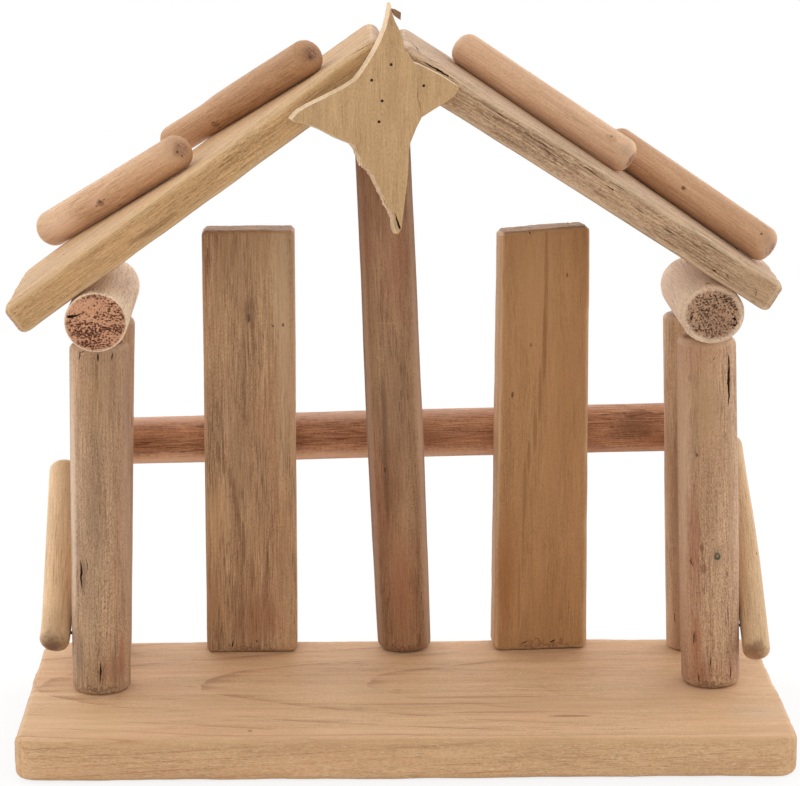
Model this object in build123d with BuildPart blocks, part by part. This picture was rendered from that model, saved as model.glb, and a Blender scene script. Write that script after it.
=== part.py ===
# Wooden nativity stable: board base, round posts, plank roof with logs, king post and star.
# Millimetres, Z up, base underside on Z = 0, open front towards -Y, middle of the base on X = Y = 0.
import os
from math import asin, cos, radians, sin, tan

from build123d import *

# Fits
contact_gap = 0.05
nail_gap = 0.05

# Brad nails
nail_radius = 0.6
nail_sink = 0.6
nail_point = 1.6
nail_overcut = 3.0
base_nail_length = 29.0
eave_nail_length = 36.0
rafter_nail_length = 24.0
roof_nail_length = 20.0
star_nail_length = 16.0
rail_nail_length = 28.0
brace_nail_length = 20.0

# Base board
base_width = 282.0
base_depth = 124.0
base_thickness = 15.0
base_corner_radius = 8.0
base_edge_round = 2.2

# Posts, placed from the edges of the base, their feet spread outwards from the eave logs
front_post_radius = 11.15
rear_post_radius = 11.0
post_end_round = 2.4
post_rise_left = 132.9
post_rise_right = 133.6
front_setback_left = 64.5
front_setback_right = 67.5
back_overhang = 1.5
front_splay_left = 1.8
front_splay_right = 4.6
rear_splay_left = 3.6
rear_splay_right = 3.6

# Eave logs
eave_log_radius = 11.2
eave_log_round = 1.8
eave_inset_left = 28.8
eave_inset_right = 28.7
eave_recess_right = 4.0
eave_tail_left = 6.0
eave_tail_right = 1.5

# Rafter boards
roof_front_setback = 43.5
rafter_stagger = 3.5
rafter_tail = 5.5
rafter_slope_left = 35.85
rafter_slope_right = 32.5
rafter_thickness_left = 12.3
rafter_thickness_right = 12.0
rafter_overhang_left = 24.4
rafter_overhang_right = 17.4
rafter_corner_round = 2.6
rafter_edge_round = 1.4
ridge_shift = 2.6
ridge_lap_left = 0.5
ridge_lap_right = 2.0
rafter_nail_shares = (0.3, 0.65)

# Roof logs: each end as a share of the board's slope and of its depth, low end first
roof_log_round = 2.4
left_lower_radius = 6.75
left_lower_slope_shares = (0.103, 0.514)
left_lower_depth_shares = (1.1, 0.245)
left_upper_radius = 6.4
left_upper_slope_shares = (0.445, 0.863)
left_upper_depth_shares = (1.22, 0.35)
right_upper_radius = 6.4
right_upper_slope_shares = (0.424, 0.874)
right_upper_depth_shares = (0.39, 0.82)
right_lower_radius = 6.45
right_lower_slope_shares = (0.054, 0.454)
right_lower_depth_shares = (0.32, 0.92)
left_roof_nail_shares = (0.36, 0.6)
right_roof_nail_shares = (0.14, 0.63)

# King post
king_foot_radius = 10.7
king_head_radius = 10.2
king_foot_offset = 1.5
king_head_offset = 2.0
king_end_round = 2.4

# Wall planks
plank_round = 1.8
left_plank_centre = 58.45
left_plank_width = 35.3
left_plank_thickness = 18.0
left_plank_headroom = 17.4
right_plank_centre = 54.3
right_plank_width = 36.6
right_plank_thickness = 16.0
right_plank_headroom = 15.3
right_plank_drop = 2.2
right_plank_turn = 3.5

# Back rail
rail_radius = 9.3
rail_height = 81.6
rail_rise = 5.0
rail_reach = 4.5
rail_end_round = 2.0

# Side braces, heights of the crossings above the base top
brace_end_round = 2.2
left_brace_foot_radius = 5.8
left_brace_head_radius = 6.0
left_brace_low = 21.5
left_brace_high = 68.5
left_brace_foot_reach = 6.2
left_brace_head_reach = 7.0
right_brace_foot_radius = 5.3
right_brace_head_radius = 4.6
right_brace_low = 22.0
right_brace_high = 74.5
right_brace_foot_reach = 13.3
right_brace_head_reach = 10.5

# Star, measured in its own face from the ridge joint: across to the right and up
star_thickness = 4.5
star_top_across = -1.7
star_top_rise = 25.1
star_upper_right_across = 5.0
star_upper_right_rise = 6.2
star_right_reach = 23.4
star_right_rise = -6.0
star_lower_right_across = 10.5
star_lower_right_rise = -15.4
star_hip_across = 5.8
star_hip_rise = -24.9
star_foot_right_across = 2.7
star_foot_left_across = -1.0
star_foot_rise = -57.2
star_lower_left_across = -14.6
star_lower_left_rise = -26.2
star_left_reach = 37.5
star_left_rise = -15.4
star_upper_left_across = -9.2
star_upper_left_rise = 1.9
star_curve_radius = 24.0
star_nail_ridge_across = -1.4
star_nail_ridge_rise = 3.4
star_nail_left_across = -8.4
star_nail_left_rise = -2.0
star_nail_right_across = 10.3
star_nail_right_rise = -4.3
star_nail_post_across = -4.6
star_nail_post_rise = -9.4
star_nail_low_across = -5.7
star_nail_low_rise = -16.8

# Levels and lines that the pieces share
base_top = base_thickness + contact_gap
base_front = -base_depth / 2
back_line = base_depth / 2 + back_overhang
eave_left_x = eave_inset_left - base_width / 2
eave_right_x = base_width / 2 - eave_inset_right
front_left_y = base_front + front_setback_left
front_right_y = base_front + front_setback_right
rear_y = back_line - rear_post_radius
left_post_top = base_top + post_rise_left
right_post_top = base_top + post_rise_right
left_log_z = left_post_top + contact_gap + eave_log_radius
right_log_z = right_post_top + contact_gap + eave_log_radius
left_roof_front = base_front + roof_front_setback
right_roof_front = left_roof_front + rafter_stagger
roof_back = rear_y + rafter_tail
left_slope = radians(rafter_slope_left)
right_slope = radians(rafter_slope_right)
log_seat = eave_log_radius + contact_gap


# Height of the underside of the left and right boards over a place across the stable
def left_underside(x):
    return left_log_z + log_seat / cos(left_slope) + (x - eave_left_x) * tan(left_slope)


def right_underside(x):
    return right_log_z + log_seat / cos(right_slope) + (eave_right_x - x) * tan(right_slope)


underside_step = right_underside(0) - left_underside(0)
peak_x = underside_step / (tan(left_slope) + tan(right_slope))
peak_z = left_underside(peak_x)
ridge_x = peak_x + ridge_shift


# One roof board: up-slope direction, outward normal, low corner of its top and length of its top
def board_frame(side):
    slope = left_slope if side < 0 else right_slope
    up = Vector(-side * cos(slope), 0, sin(slope))
    out = Vector(side * sin(slope), 0, cos(slope))
    log = Vector(eave_left_x, 0, left_log_z) if side < 0 else Vector(eave_right_x, 0, right_log_z)
    overhang = rafter_overhang_left if side < 0 else rafter_overhang_right
    thickness = rafter_thickness_left if side < 0 else rafter_thickness_right
    lap = ridge_lap_left if side < 0 else ridge_lap_right
    low = log + out * log_seat - up * overhang
    reach = (ridge_x - side * lap - low.X) / up.X
    front = left_roof_front if side < 0 else right_roof_front
    return up, out, low, reach, thickness, lap, front


# Place on the top of a board from shares of its slope and of its depth, raised by a height
def board_spot(side, slope_share, depth_share, height):
    up, out, low, reach, thickness, lap, front = board_frame(side)
    spot = low + up * (reach * slope_share) + out * (thickness + height)
    return Vector(spot.X, front + (roof_back - front) * depth_share, spot.Z)


# Nails are pairs of a place on the surface and the way they are driven
def drill(nails, length):
    for head, way in nails:
        with Locations(Plane(origin=head - way * nail_overcut, z_dir=way)):
            Cylinder(
                nail_radius + nail_gap,
                nail_overcut + nail_sink + length + nail_gap,
                align=(Align.CENTER, Align.CENTER, Align.MIN),
                mode=Mode.SUBTRACT,
            )


def drive(nails, length):
    for head, way in nails:
        with Locations(Plane(origin=head + way * nail_sink, z_dir=way)):
            Cylinder(nail_radius, length - nail_point, align=(Align.CENTER, Align.CENTER, Align.MIN))
            with Locations((0, 0, length - nail_point)):
                Cone(nail_radius, nail_radius / 4, nail_point, align=(Align.CENTER, Align.CENTER, Align.MIN))


# Round upright with level ends, leaning from its foot to its head
def upright(foot, head, foot_radius, head_radius, end_round):
    with BuildPart() as stick:
        with BuildSketch(Plane(origin=foot)):
            Circle(foot_radius)
        with BuildSketch(Plane(origin=head)):
            Circle(head_radius)
        loft(ruled=True)
        fillet(stick.edges().filter_by(GeomType.CIRCLE), end_round)
    return stick.part


# Round stick between two ends, square cut with worn arrises
def log_between(start, end, start_radius, end_radius, end_round):
    way = end - start
    with BuildPart() as stick:
        with BuildSketch(Plane(origin=start, z_dir=way)):
            Circle(start_radius)
        with BuildSketch(Plane(origin=end, z_dir=way)):
            Circle(end_radius)
        loft(ruled=True)
        fillet(stick.edges().filter_by(GeomType.CIRCLE), end_round)
    return stick.part


# Rafter board, its ridge end trimmed plumb where it bears on the other board
def rafter(side):
    up, out, low, reach, thickness, lap, front = board_frame(side)
    slope = left_slope if side < 0 else right_slope
    joint_x = ridge_x + side * contact_gap / 2
    tip = low + up * reach
    facet_low = low + up * ((joint_x - low.X) / up.X)
    facet_high = tip + out * ((lap + contact_gap / 2) / sin(slope))
    outline = [low, facet_low, facet_high, tip + out * thickness, low + out * thickness]
    with BuildPart() as board:
        with BuildSketch(Plane.XZ.offset(-front)) as profile:
            with BuildLine():
                Polyline([(p.X, p.Z) for p in outline], close=True)
            make_face()
            worn = profile.vertices().sort_by_distance((low.X, front, low.Z))
            far = profile.vertices().sort_by_distance((outline[3].X, front, outline[3].Z))
            fillet([worn[0], worn[1], far[0]], rafter_corner_round)
        extrude(amount=front - roof_back)
        long_edges = board.edges().filter_by(Plane.XZ).filter_by(lambda e: e.length > 2 * thickness)
        fillet(long_edges, rafter_edge_round)
    return board.part


# Feet and heads of the uprights
front_left_foot = Vector(eave_left_x - front_splay_left, front_left_y, base_top)
front_left_head = Vector(eave_left_x, front_left_y, left_post_top)
front_right_foot = Vector(eave_right_x + front_splay_right, front_right_y, base_top)
front_right_head = Vector(eave_right_x, front_right_y, right_post_top)
rear_left_foot = Vector(eave_left_x - rear_splay_left, rear_y, base_top)
rear_left_head = Vector(eave_left_x, rear_y, left_post_top)
rear_right_foot = Vector(eave_right_x + rear_splay_right, rear_y, base_top)
rear_right_head = Vector(eave_right_x, rear_y, right_post_top)
king_foot = Vector(king_foot_offset, back_line - king_foot_radius, base_top)
king_head_y = left_roof_front + contact_gap + king_head_radius
king_head = Vector(peak_x - king_head_offset, king_head_y, peak_z)

# Middles of the wall planks, set so that their backs reach the line of the rail
turn = radians(right_plank_turn)
left_plank_y = back_line - left_plank_thickness / 2
right_plank_back = right_plank_thickness / 2 * cos(turn) + right_plank_width / 2 * sin(turn)
right_plank_y = back_line - right_plank_back
left_plank_foot = Vector(-left_plank_centre, left_plank_y, base_top)
right_plank_foot = Vector(right_plank_centre, right_plank_y, base_top)
left_plank_edge = left_plank_centre + left_plank_width / 2
right_plank_edge = right_plank_centre + right_plank_width / 2
left_plank_top = left_underside(-left_plank_edge) - left_plank_headroom
right_plank_top = right_underside(right_plank_edge) - right_plank_headroom


# Middle of a leaning upright at a height
def middle_at(foot, head, z):
    return foot + (head - foot) * ((z - foot.Z) / (head.Z - foot.Z))


# Back rail, sloping up to the right behind the rear posts and the planks
rail_y = back_line + contact_gap + rail_radius
rail_low_z = base_top + rail_height - rail_rise / 2
rail_high_z = base_top + rail_height + rail_rise / 2
rail_left_x = middle_at(rear_left_foot, rear_left_head, rail_low_z).X - rail_reach
rail_right_x = middle_at(rear_right_foot, rear_right_head, rail_high_z).X + rail_reach
rail_start = Vector(rail_left_x, rail_y, rail_low_z)
rail_end = Vector(rail_right_x, rail_y, rail_high_z)


# Place on the back of the rail over a place across the stable
def rail_back(x):
    share = (x - rail_left_x) / (rail_right_x - rail_left_x)
    spot = rail_start + (rail_end - rail_start) * share
    return Vector(spot.X, rail_y + rail_radius, spot.Z)


# Axis of a side brace that passes the outer sides of a front and a rear post
def brace_line(side, front, rear, low, high, foot_reach, head_reach, foot_radius, head_radius):
    low_spot = middle_at(front[0], front[1], base_top + low)
    high_spot = middle_at(rear[0], rear[1], base_top + high)
    span = (high_spot - low_spot).length
    whole = foot_reach + span + head_reach
    taper = (foot_radius - head_radius) / whole
    low_radius = foot_radius - taper * foot_reach
    high_radius = head_radius + taper * head_reach
    seat = 2 * contact_gap
    low_mid = low_spot + Vector(side * (front_post_radius + low_radius + seat), 0, 0)
    high_mid = high_spot + Vector(side * (rear_post_radius + high_radius + seat), 0, 0)
    way = (high_mid - low_mid).normalized()
    inward = Vector(-side, 0, 0)
    nails = [
        (low_mid - inward * low_radius, inward),
        (high_mid - inward * high_radius, inward),
    ]
    return low_mid - way * foot_reach, high_mid + way * head_reach, nails


left_front = (front_left_foot, front_left_head)
left_rear = (rear_left_foot, rear_left_head)
right_front = (front_right_foot, front_right_head)
right_rear = (rear_right_foot, rear_right_head)
left_brace_foot, left_brace_head, left_brace_nails = brace_line(
    -1, left_front, left_rear,
    left_brace_low, left_brace_high, left_brace_foot_reach, left_brace_head_reach,
    left_brace_foot_radius, left_brace_head_radius,
)
right_brace_foot, right_brace_head, right_brace_nails = brace_line(
    1, right_front, right_rear,
    right_brace_low, right_brace_high, right_brace_foot_reach, right_brace_head_reach,
    right_brace_foot_radius, right_brace_head_radius,
)

# Star plane, resting on the ridge corner of the left board and on the face of the right board
star_turn = asin(rafter_stagger / star_right_reach)
star_across = Vector(cos(star_turn), sin(star_turn), 0)
star_facing = Vector(sin(star_turn), -cos(star_turn), 0)
star_back = Vector(ridge_x, left_roof_front - 2 * contact_gap, peak_z)


def star_spot(across, rise):
    return star_back + star_facing * star_thickness + star_across * across + Vector(0, 0, rise)


# Axis of a roof log and its nails
def roof_log(side, radius, slope_shares, depth_shares):
    seat = radius + contact_gap
    start = board_spot(side, slope_shares[0], depth_shares[0], seat)
    end = board_spot(side, slope_shares[1], depth_shares[1], seat)
    out = board_frame(side)[1]
    nail_shares = left_roof_nail_shares if side < 0 else right_roof_nail_shares
    nails = [(start + (end - start) * share + out * radius, -out) for share in nail_shares]
    return start, end, nails


left_lower = roof_log(-1, left_lower_radius, left_lower_slope_shares, left_lower_depth_shares)
left_upper = roof_log(-1, left_upper_radius, left_upper_slope_shares, left_upper_depth_shares)
right_upper = roof_log(1, right_upper_radius, right_upper_slope_shares, right_upper_depth_shares)
right_lower = roof_log(1, right_lower_radius, right_lower_slope_shares, right_lower_depth_shares)


# Nails through a board into the eave log below it
def rafter_line(side, log_x, log_z, front_y):
    up, out, low, reach, thickness, lap, front = board_frame(side)
    nails = []
    for share in rafter_nail_shares:
        middle = Vector(log_x, front_y + (rear_y - front_y) * share, log_z)
        nails.append((middle + out * (log_seat + thickness), -out))
    return nails


# Nail places
upward = Vector(0, 0, 1)
forward = Vector(0, -1, 0)
post_feet = [front_left_foot, front_right_foot, rear_left_foot, rear_right_foot, king_foot]
plank_spots = []
for foot, width, angle in (
    (left_plank_foot, left_plank_width, 0),
    (right_plank_foot, right_plank_width, turn),
):
    for hand in (-1, 1):
        plank_spots.append(foot + Vector(cos(angle), sin(angle), 0) * (hand * width / 4))
base_nail_line = [(Vector(p.X, p.Y, 0), upward) for p in post_feet + plank_spots]
left_log_top = left_log_z + eave_log_radius
right_log_top = right_log_z + eave_log_radius
left_eave_nails = [(Vector(eave_left_x, y, left_log_top), -upward) for y in (front_left_y, rear_y)]
right_eave_nails = [(Vector(eave_right_x, y, right_log_top), -upward) for y in (front_right_y, rear_y)]
left_rafter_nails = rafter_line(-1, eave_left_x, left_log_z, front_left_y)
right_rafter_nails = rafter_line(1, eave_right_x, right_log_z, front_right_y)
left_roof_nails = left_lower[2] + left_upper[2]
right_roof_nails = right_upper[2] + right_lower[2]
star_places = (
    (star_nail_ridge_across, star_nail_ridge_rise),
    (star_nail_left_across, star_nail_left_rise),
    (star_nail_right_across, star_nail_right_rise),
    (star_nail_post_across, star_nail_post_rise),
    (star_nail_low_across, star_nail_low_rise),
)
star_nail_line = [(star_spot(across, rise), -star_facing) for across, rise in star_places]
rail_places = (
    middle_at(rear_left_foot, rear_left_head, rail_low_z).X,
    -left_plank_centre,
    right_plank_centre,
    middle_at(rear_right_foot, rear_right_head, rail_high_z).X,
)
rail_nail_line = [(rail_back(x), forward) for x in rail_places]

# Base board
with BuildPart() as base_board:
    with BuildSketch():
        RectangleRounded(base_width, base_depth, base_corner_radius)
    extrude(amount=base_thickness)
    rims = base_board.faces().sort_by(Axis.Z)
    fillet(rims[0].edges() + rims[-1].edges(), base_edge_round)
    drill(base_nail_line, base_nail_length)

# Posts
with BuildPart() as front_post_left:
    add(upright(front_left_foot, front_left_head, front_post_radius, front_post_radius, post_end_round))
    drill(base_nail_line, base_nail_length)
    drill(left_eave_nails, eave_nail_length)
    drill(left_brace_nails, brace_nail_length)

with BuildPart() as front_post_right:
    add(upright(front_right_foot, front_right_head, front_post_radius, front_post_radius, post_end_round))
    drill(base_nail_line, base_nail_length)
    drill(right_eave_nails, eave_nail_length)
    drill(right_brace_nails, brace_nail_length)

with BuildPart() as rear_post_left:
    add(upright(rear_left_foot, rear_left_head, rear_post_radius, rear_post_radius, post_end_round))
    drill(base_nail_line, base_nail_length)
    drill(left_eave_nails, eave_nail_length)
    drill(left_brace_nails, brace_nail_length)
    drill(rail_nail_line, rail_nail_length)

with BuildPart() as rear_post_right:
    add(upright(rear_right_foot, rear_right_head, rear_post_radius, rear_post_radius, post_end_round))
    drill(base_nail_line, base_nail_length)
    drill(right_eave_nails, eave_nail_length)
    drill(right_brace_nails, brace_nail_length)
    drill(rail_nail_line, rail_nail_length)

# Eave logs on the post tops, front ends flush with the left board and behind the right one
with BuildPart() as eave_log_left:
    left_log_start = Vector(eave_left_x, left_roof_front, left_log_z)
    left_log_end = Vector(eave_left_x, rear_y + eave_tail_left, left_log_z)
    add(log_between(left_log_start, left_log_end, eave_log_radius, eave_log_radius, eave_log_round))
    drill(left_eave_nails, eave_nail_length)
    drill(left_rafter_nails, rafter_nail_length)

with BuildPart() as eave_log_right:
    right_log_start = Vector(eave_right_x, right_roof_front + eave_recess_right, right_log_z)
    right_log_end = Vector(eave_right_x, rear_y + eave_tail_right, right_log_z)
    add(log_between(right_log_start, right_log_end, eave_log_radius, eave_log_radius, eave_log_round))
    drill(right_eave_nails, eave_nail_length)
    drill(right_rafter_nails, rafter_nail_length)

# Rafter boards
with BuildPart() as rafter_board_left:
    add(rafter(-1))
    drill(left_rafter_nails, rafter_nail_length)
    drill(left_roof_nails, roof_nail_length)
    drill(star_nail_line, star_nail_length)

with BuildPart() as rafter_board_right:
    add(rafter(1))
    drill(right_rafter_nails, rafter_nail_length)
    drill(right_roof_nails, roof_nail_length)
    drill(star_nail_line, star_nail_length)

# Logs on the roof
with BuildPart() as roof_log_left_lower:
    add(log_between(left_lower[0], left_lower[1], left_lower_radius, left_lower_radius, roof_log_round))
    drill(left_lower[2], roof_nail_length)

with BuildPart() as roof_log_left_upper:
    add(log_between(left_upper[0], left_upper[1], left_upper_radius, left_upper_radius, roof_log_round))
    drill(left_upper[2], roof_nail_length)

with BuildPart() as roof_log_right_upper:
    add(log_between(right_upper[0], right_upper[1], right_upper_radius, right_upper_radius, roof_log_round))
    drill(right_upper[2], roof_nail_length)

with BuildPart() as roof_log_right_lower:
    add(log_between(right_lower[0], right_lower[1], right_lower_radius, right_lower_radius, roof_log_round))
    drill(right_lower[2], roof_nail_length)

# King post, leaning forward to the ridge, its head cut to the undersides of the boards
with BuildPart() as king_post:
    with BuildSketch(Plane(origin=king_foot)):
        Circle(king_foot_radius)
    with BuildSketch(Plane(origin=king_head)):
        Circle(king_head_radius)
    loft(ruled=True)
    fillet(king_post.edges().filter_by(GeomType.CIRCLE).sort_by(Axis.Z)[0], king_end_round)
    reach = 4 * king_head_radius
    seat_drop = 2 * contact_gap
    with BuildSketch(Plane.XZ.offset(-left_roof_front)):
        with BuildLine():
            Polyline(
                (peak_x - reach, left_underside(peak_x - reach) - seat_drop),
                (peak_x, peak_z - seat_drop),
                (peak_x + reach, right_underside(peak_x + reach) - seat_drop),
                (peak_x + reach, peak_z + reach),
                (peak_x - reach, peak_z + reach),
                close=True,
            )
        make_face()
    extrude(amount=left_roof_front - back_line, mode=Mode.SUBTRACT)
    drill(base_nail_line, base_nail_length)
    drill(star_nail_line, star_nail_length)


# Upright plank with a level foot, its top sloping from one side to the other
def wall_plank(foot, angle, width, thickness, left_rise, right_rise):
    facing = Plane(origin=foot, x_dir=(cos(angle), sin(angle), 0), z_dir=(sin(angle), -cos(angle), 0))
    with BuildPart() as plank:
        with BuildSketch(facing):
            with BuildLine():
                Polyline(
                    (-width / 2, 0), (width / 2, 0), (width / 2, right_rise), (-width / 2, left_rise),
                    close=True,
                )
            make_face()
        extrude(amount=thickness / 2, both=True)
        fillet(plank.edges(), plank_round)
    return plank.part


# Wall planks
left_plank_rise = left_plank_top - base_top
right_plank_rise = right_plank_top - base_top
with BuildPart() as wall_plank_left:
    add(wall_plank(
        left_plank_foot, 0, left_plank_width, left_plank_thickness, left_plank_rise, left_plank_rise,
    ))
    drill(base_nail_line, base_nail_length)
    drill(rail_nail_line, rail_nail_length)

with BuildPart() as wall_plank_right:
    add(wall_plank(
        right_plank_foot, turn, right_plank_width, right_plank_thickness,
        right_plank_rise - right_plank_drop, right_plank_rise,
    ))
    drill(base_nail_line, base_nail_length)
    drill(rail_nail_line, rail_nail_length)

# Back rail
with BuildPart() as back_rail:
    add(log_between(rail_start, rail_end, rail_radius, rail_radius, rail_end_round))
    drill(rail_nail_line, rail_nail_length)

# Side braces
with BuildPart() as side_brace_left:
    add(log_between(
        left_brace_foot, left_brace_head, left_brace_foot_radius, left_brace_head_radius, brace_end_round,
    ))
    drill(left_brace_nails, brace_nail_length)

with BuildPart() as side_brace_right:
    add(log_between(
        right_brace_foot, right_brace_head, right_brace_foot_radius, right_brace_head_radius, brace_end_round,
    ))
    drill(right_brace_nails, brace_nail_length)

# Star
with BuildPart() as star:
    with BuildSketch(Plane(origin=star_back, x_dir=star_across, z_dir=star_facing)) as outline:
        with BuildLine():
            Polyline(
                (star_top_across, star_top_rise),
                (star_upper_right_across, star_upper_right_rise),
                (star_right_reach, star_right_rise),
                (star_lower_right_across, star_lower_right_rise),
                (star_hip_across, star_hip_rise),
                (star_foot_right_across, star_foot_rise),
                (star_foot_left_across, star_foot_rise),
                (star_lower_left_across, star_lower_left_rise),
                (-star_left_reach, star_left_rise),
                (star_upper_left_across, star_upper_left_rise),
                close=True,
            )
        make_face()
        bend = star_spot(star_upper_left_across, star_upper_left_rise)
        fillet(outline.vertices().sort_by_distance(bend)[0], star_curve_radius)
    extrude(amount=star_thickness)
    drill(star_nail_line, star_nail_length)

# Nails
with BuildPart() as base_nails:
    drive(base_nail_line, base_nail_length)

with BuildPart() as eave_nails:
    drive(left_eave_nails + right_eave_nails, eave_nail_length)

with BuildPart() as rafter_nails:
    drive(left_rafter_nails + right_rafter_nails, rafter_nail_length)

with BuildPart() as roof_log_nails:
    drive(left_roof_nails + right_roof_nails, roof_nail_length)

with BuildPart() as star_nails:
    drive(star_nail_line, star_nail_length)

with BuildPart() as rail_nails:
    drive(rail_nail_line, rail_nail_length)

with BuildPart() as brace_nails:
    drive(left_brace_nails + right_brace_nails, brace_nail_length)

# One file for each piece
pieces = {
    "base_board": base_board,
    "front_post_left": front_post_left,
    "front_post_right": front_post_right,
    "rear_post_left": rear_post_left,
    "rear_post_right": rear_post_right,
    "eave_log_left": eave_log_left,
    "eave_log_right": eave_log_right,
    "rafter_board_left": rafter_board_left,
    "rafter_board_right": rafter_board_right,
    "roof_log_left_lower": roof_log_left_lower,
    "roof_log_left_upper": roof_log_left_upper,
    "roof_log_right_upper": roof_log_right_upper,
    "roof_log_right_lower": roof_log_right_lower,
    "king_post": king_post,
    "wall_plank_left": wall_plank_left,
    "wall_plank_right": wall_plank_right,
    "back_rail": back_rail,
    "side_brace_left": side_brace_left,
    "side_brace_right": side_brace_right,
    "star": star,
    "base_nails": base_nails,
    "eave_nails": eave_nails,
    "rafter_nails": rafter_nails,
    "roof_log_nails": roof_log_nails,
    "star_nails": star_nails,
    "rail_nails": rail_nails,
    "brace_nails": brace_nails,
}
os.makedirs("parts", exist_ok=True)
for name, piece in pieces.items():
    piece.part.label = name
    export_step(piece.part, "parts/" + name + ".step")
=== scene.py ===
import bpy
import bmesh
from functools import partial
from math import cos, pi, radians, sin
from mathutils import Matrix, Vector, geometry, noise
from mathutils.bvhtree import BVHTree
from mathutils.interpolate import poly_3d_calc


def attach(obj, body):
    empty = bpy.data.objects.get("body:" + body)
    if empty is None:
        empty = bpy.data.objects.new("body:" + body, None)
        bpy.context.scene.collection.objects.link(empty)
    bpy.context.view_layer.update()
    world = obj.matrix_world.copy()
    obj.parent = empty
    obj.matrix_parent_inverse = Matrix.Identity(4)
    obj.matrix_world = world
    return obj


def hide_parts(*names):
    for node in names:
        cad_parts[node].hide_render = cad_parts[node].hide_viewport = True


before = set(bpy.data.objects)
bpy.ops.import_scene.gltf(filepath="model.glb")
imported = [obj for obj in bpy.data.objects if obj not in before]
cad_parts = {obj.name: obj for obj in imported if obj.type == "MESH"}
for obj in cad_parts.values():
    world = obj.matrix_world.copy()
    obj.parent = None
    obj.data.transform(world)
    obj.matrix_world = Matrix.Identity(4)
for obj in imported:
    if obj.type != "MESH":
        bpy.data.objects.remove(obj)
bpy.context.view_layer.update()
mm = 0.001  # sizes are in millimetres where no note says metres, Blender gets metres
nodePrefixes = ("ShaderNode", "GeometryNode", "FunctionNode", "Node")


def addNode(tree, kind, *sources, **settings):  # "Math.ADD" is a Math node set to ADD
    kind, dot, operation = kind.partition(".")
    node = tree.nodes.new(next(p + kind for p in nodePrefixes if hasattr(bpy.types, p + kind)))
    if operation:
        node.operation = operation
    for name, value in settings.items():
        setattr(node, name, value)
    links = {}  # sources follow the order of the sockets, or stand in a dictionary by socket name
    for i, source in enumerate(sources):
        links.update(source if isinstance(source, dict) else {i: source})
    for key, source in links.items():
        sockets = [s for s in node.inputs if s.enabled]
        socket = sockets[key] if isinstance(key, int) else next(s for s in sockets if s.name == key)
        if isinstance(source, bpy.types.Node):
            source = next(s for s in source.outputs if s.enabled)
        if isinstance(source, bpy.types.NodeSocket):
            tree.links.new(source, socket)
        else:
            socket.default_value = source
    return node


def clearTree(owner):  # empties the shader tree of a material or world and gives its add function
    owner.use_nodes = True
    owner.node_tree.nodes.clear()
    return partial(addNode, owner.node_tree)


def linear(hexColour):  # sRGB hex to the linear colour that Blender works in
    channels = [int(hexColour[i:i + 2], 16) / 255 for i in (1, 3, 5)]
    return [c / 12.92 if c <= 0.04045 else ((c + 0.055) / 1.055) ** 2.4 for c in channels] + [1.0]


# camera at the photograph's place
cameraPlace = dict(spot=(-23.9, -1084.4, 362.7), turn=-1.19, tilt=12.17, lens=135.0, sensor=36.0,
                   width=800, height=786)
cameraData = bpy.data.cameras.new("photoCamera")
cameraData.lens = cameraPlace["lens"]
cameraData.sensor_width = cameraPlace["sensor"]
cameraData.clip_end = 20
camera = bpy.data.objects.new("photoCamera", cameraData)
camera.location = [c * mm for c in cameraPlace["spot"]]
camera.rotation_euler = (radians(90 - cameraPlace["tilt"]), 0, radians(cameraPlace["turn"]))
bpy.context.scene.collection.objects.link(camera)
bpy.context.scene.camera = camera
print("camera set")


def sightLine(pixel):  # eye and direction of the line of sight through a pixel, in millimetres
    c = cameraPlace
    away = c["lens"] / c["sensor"] * c["width"]
    sight = Vector((pixel[0] - c["width"] / 2, c["height"] / 2 - pixel[1], -away))
    sight.rotate(camera.rotation_euler)
    return Vector(c["spot"]), sight.normalized()


def onPlane(pixel, spot, facing):  # where that line meets a plane
    eye, sight = sightLine(pixel)
    return eye + sight * ((Vector(spot) - eye).dot(facing) / sight.dot(facing))


def searchTree(mesh):
    return BVHTree.FromPolygons([v.co for v in mesh.vertices], [p.vertices for p in mesh.polygons])


def onMesh(mesh, search, pixel):  # where that line meets a piece: place, outward normal and woodSpace there
    eye, sight = sightLine(pixel)
    place, normal, face, far = search.ray_cast(eye * mm, sight)
    corners = mesh.polygons[face].vertices
    weights = poly_3d_calc([mesh.vertices[i].co for i in corners], place)
    space = Vector()
    for corner, weight in zip(corners, weights):
        space += mesh.attributes["woodSpace"].data[corner].vector * weight
    return place / mm, normal, space / mm


# kinds of tree input: type of socket, and the factor from a piece's own value to the socket's
inputKinds = dict(
    length=("Float", mm), share=("Float", 1.0), density=("Float", 1 / mm ** 2), count=("Int", 1),
    place=("Vector", mm), way=("Vector", 1.0), host=("Geometry", None), wood=("Material", None))
# surface wear that sticks and boards share: soft lumps, raised grain and pitted end grain
wearInputs = {
    "Lump": "length", "Lump Size": "length", "Grain": "length", "Grain Width": "length", "Pit": "length",
    "Pit Size": "length", "Pit Row": "share", "Pit Gather": "share", "Seed": "share", "Wood": "wood"}
stickInputs = {
    "Guide": "host", "Sides": "count", "Cap Rings": "count", "Body Rings": "count", "Arris": "length",
    "Facing": "way", "Section Way": "way", "Oval": "share", "Oval Turn": "share", **wearInputs}
boardInputs = {
    "Host": "host", "Size": "place", "Middle": "place", "Length Way": "way", "Width Way": "way",
    "Out Way": "way", "Step": "length", "Edge": "length", "Corner": "length", "Bow": "length",
    "Taper": "length", "Top Slope": "length", "Top Lean": "length", "End Skew": "length",
    "Rough Way": "way", "Rough": "length", "Fibres": "density", "Fibre Length": "length",
    "Fibre Width": "length", **wearInputs}
# per metre: edges worn in patches of 22 mm, torn ridges 1.6 mm wide; weld closes the sheet to a tube
wearPattern = dict(edgePatch=45.0, tornRidge=620.0, weld=4e-6)


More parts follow.
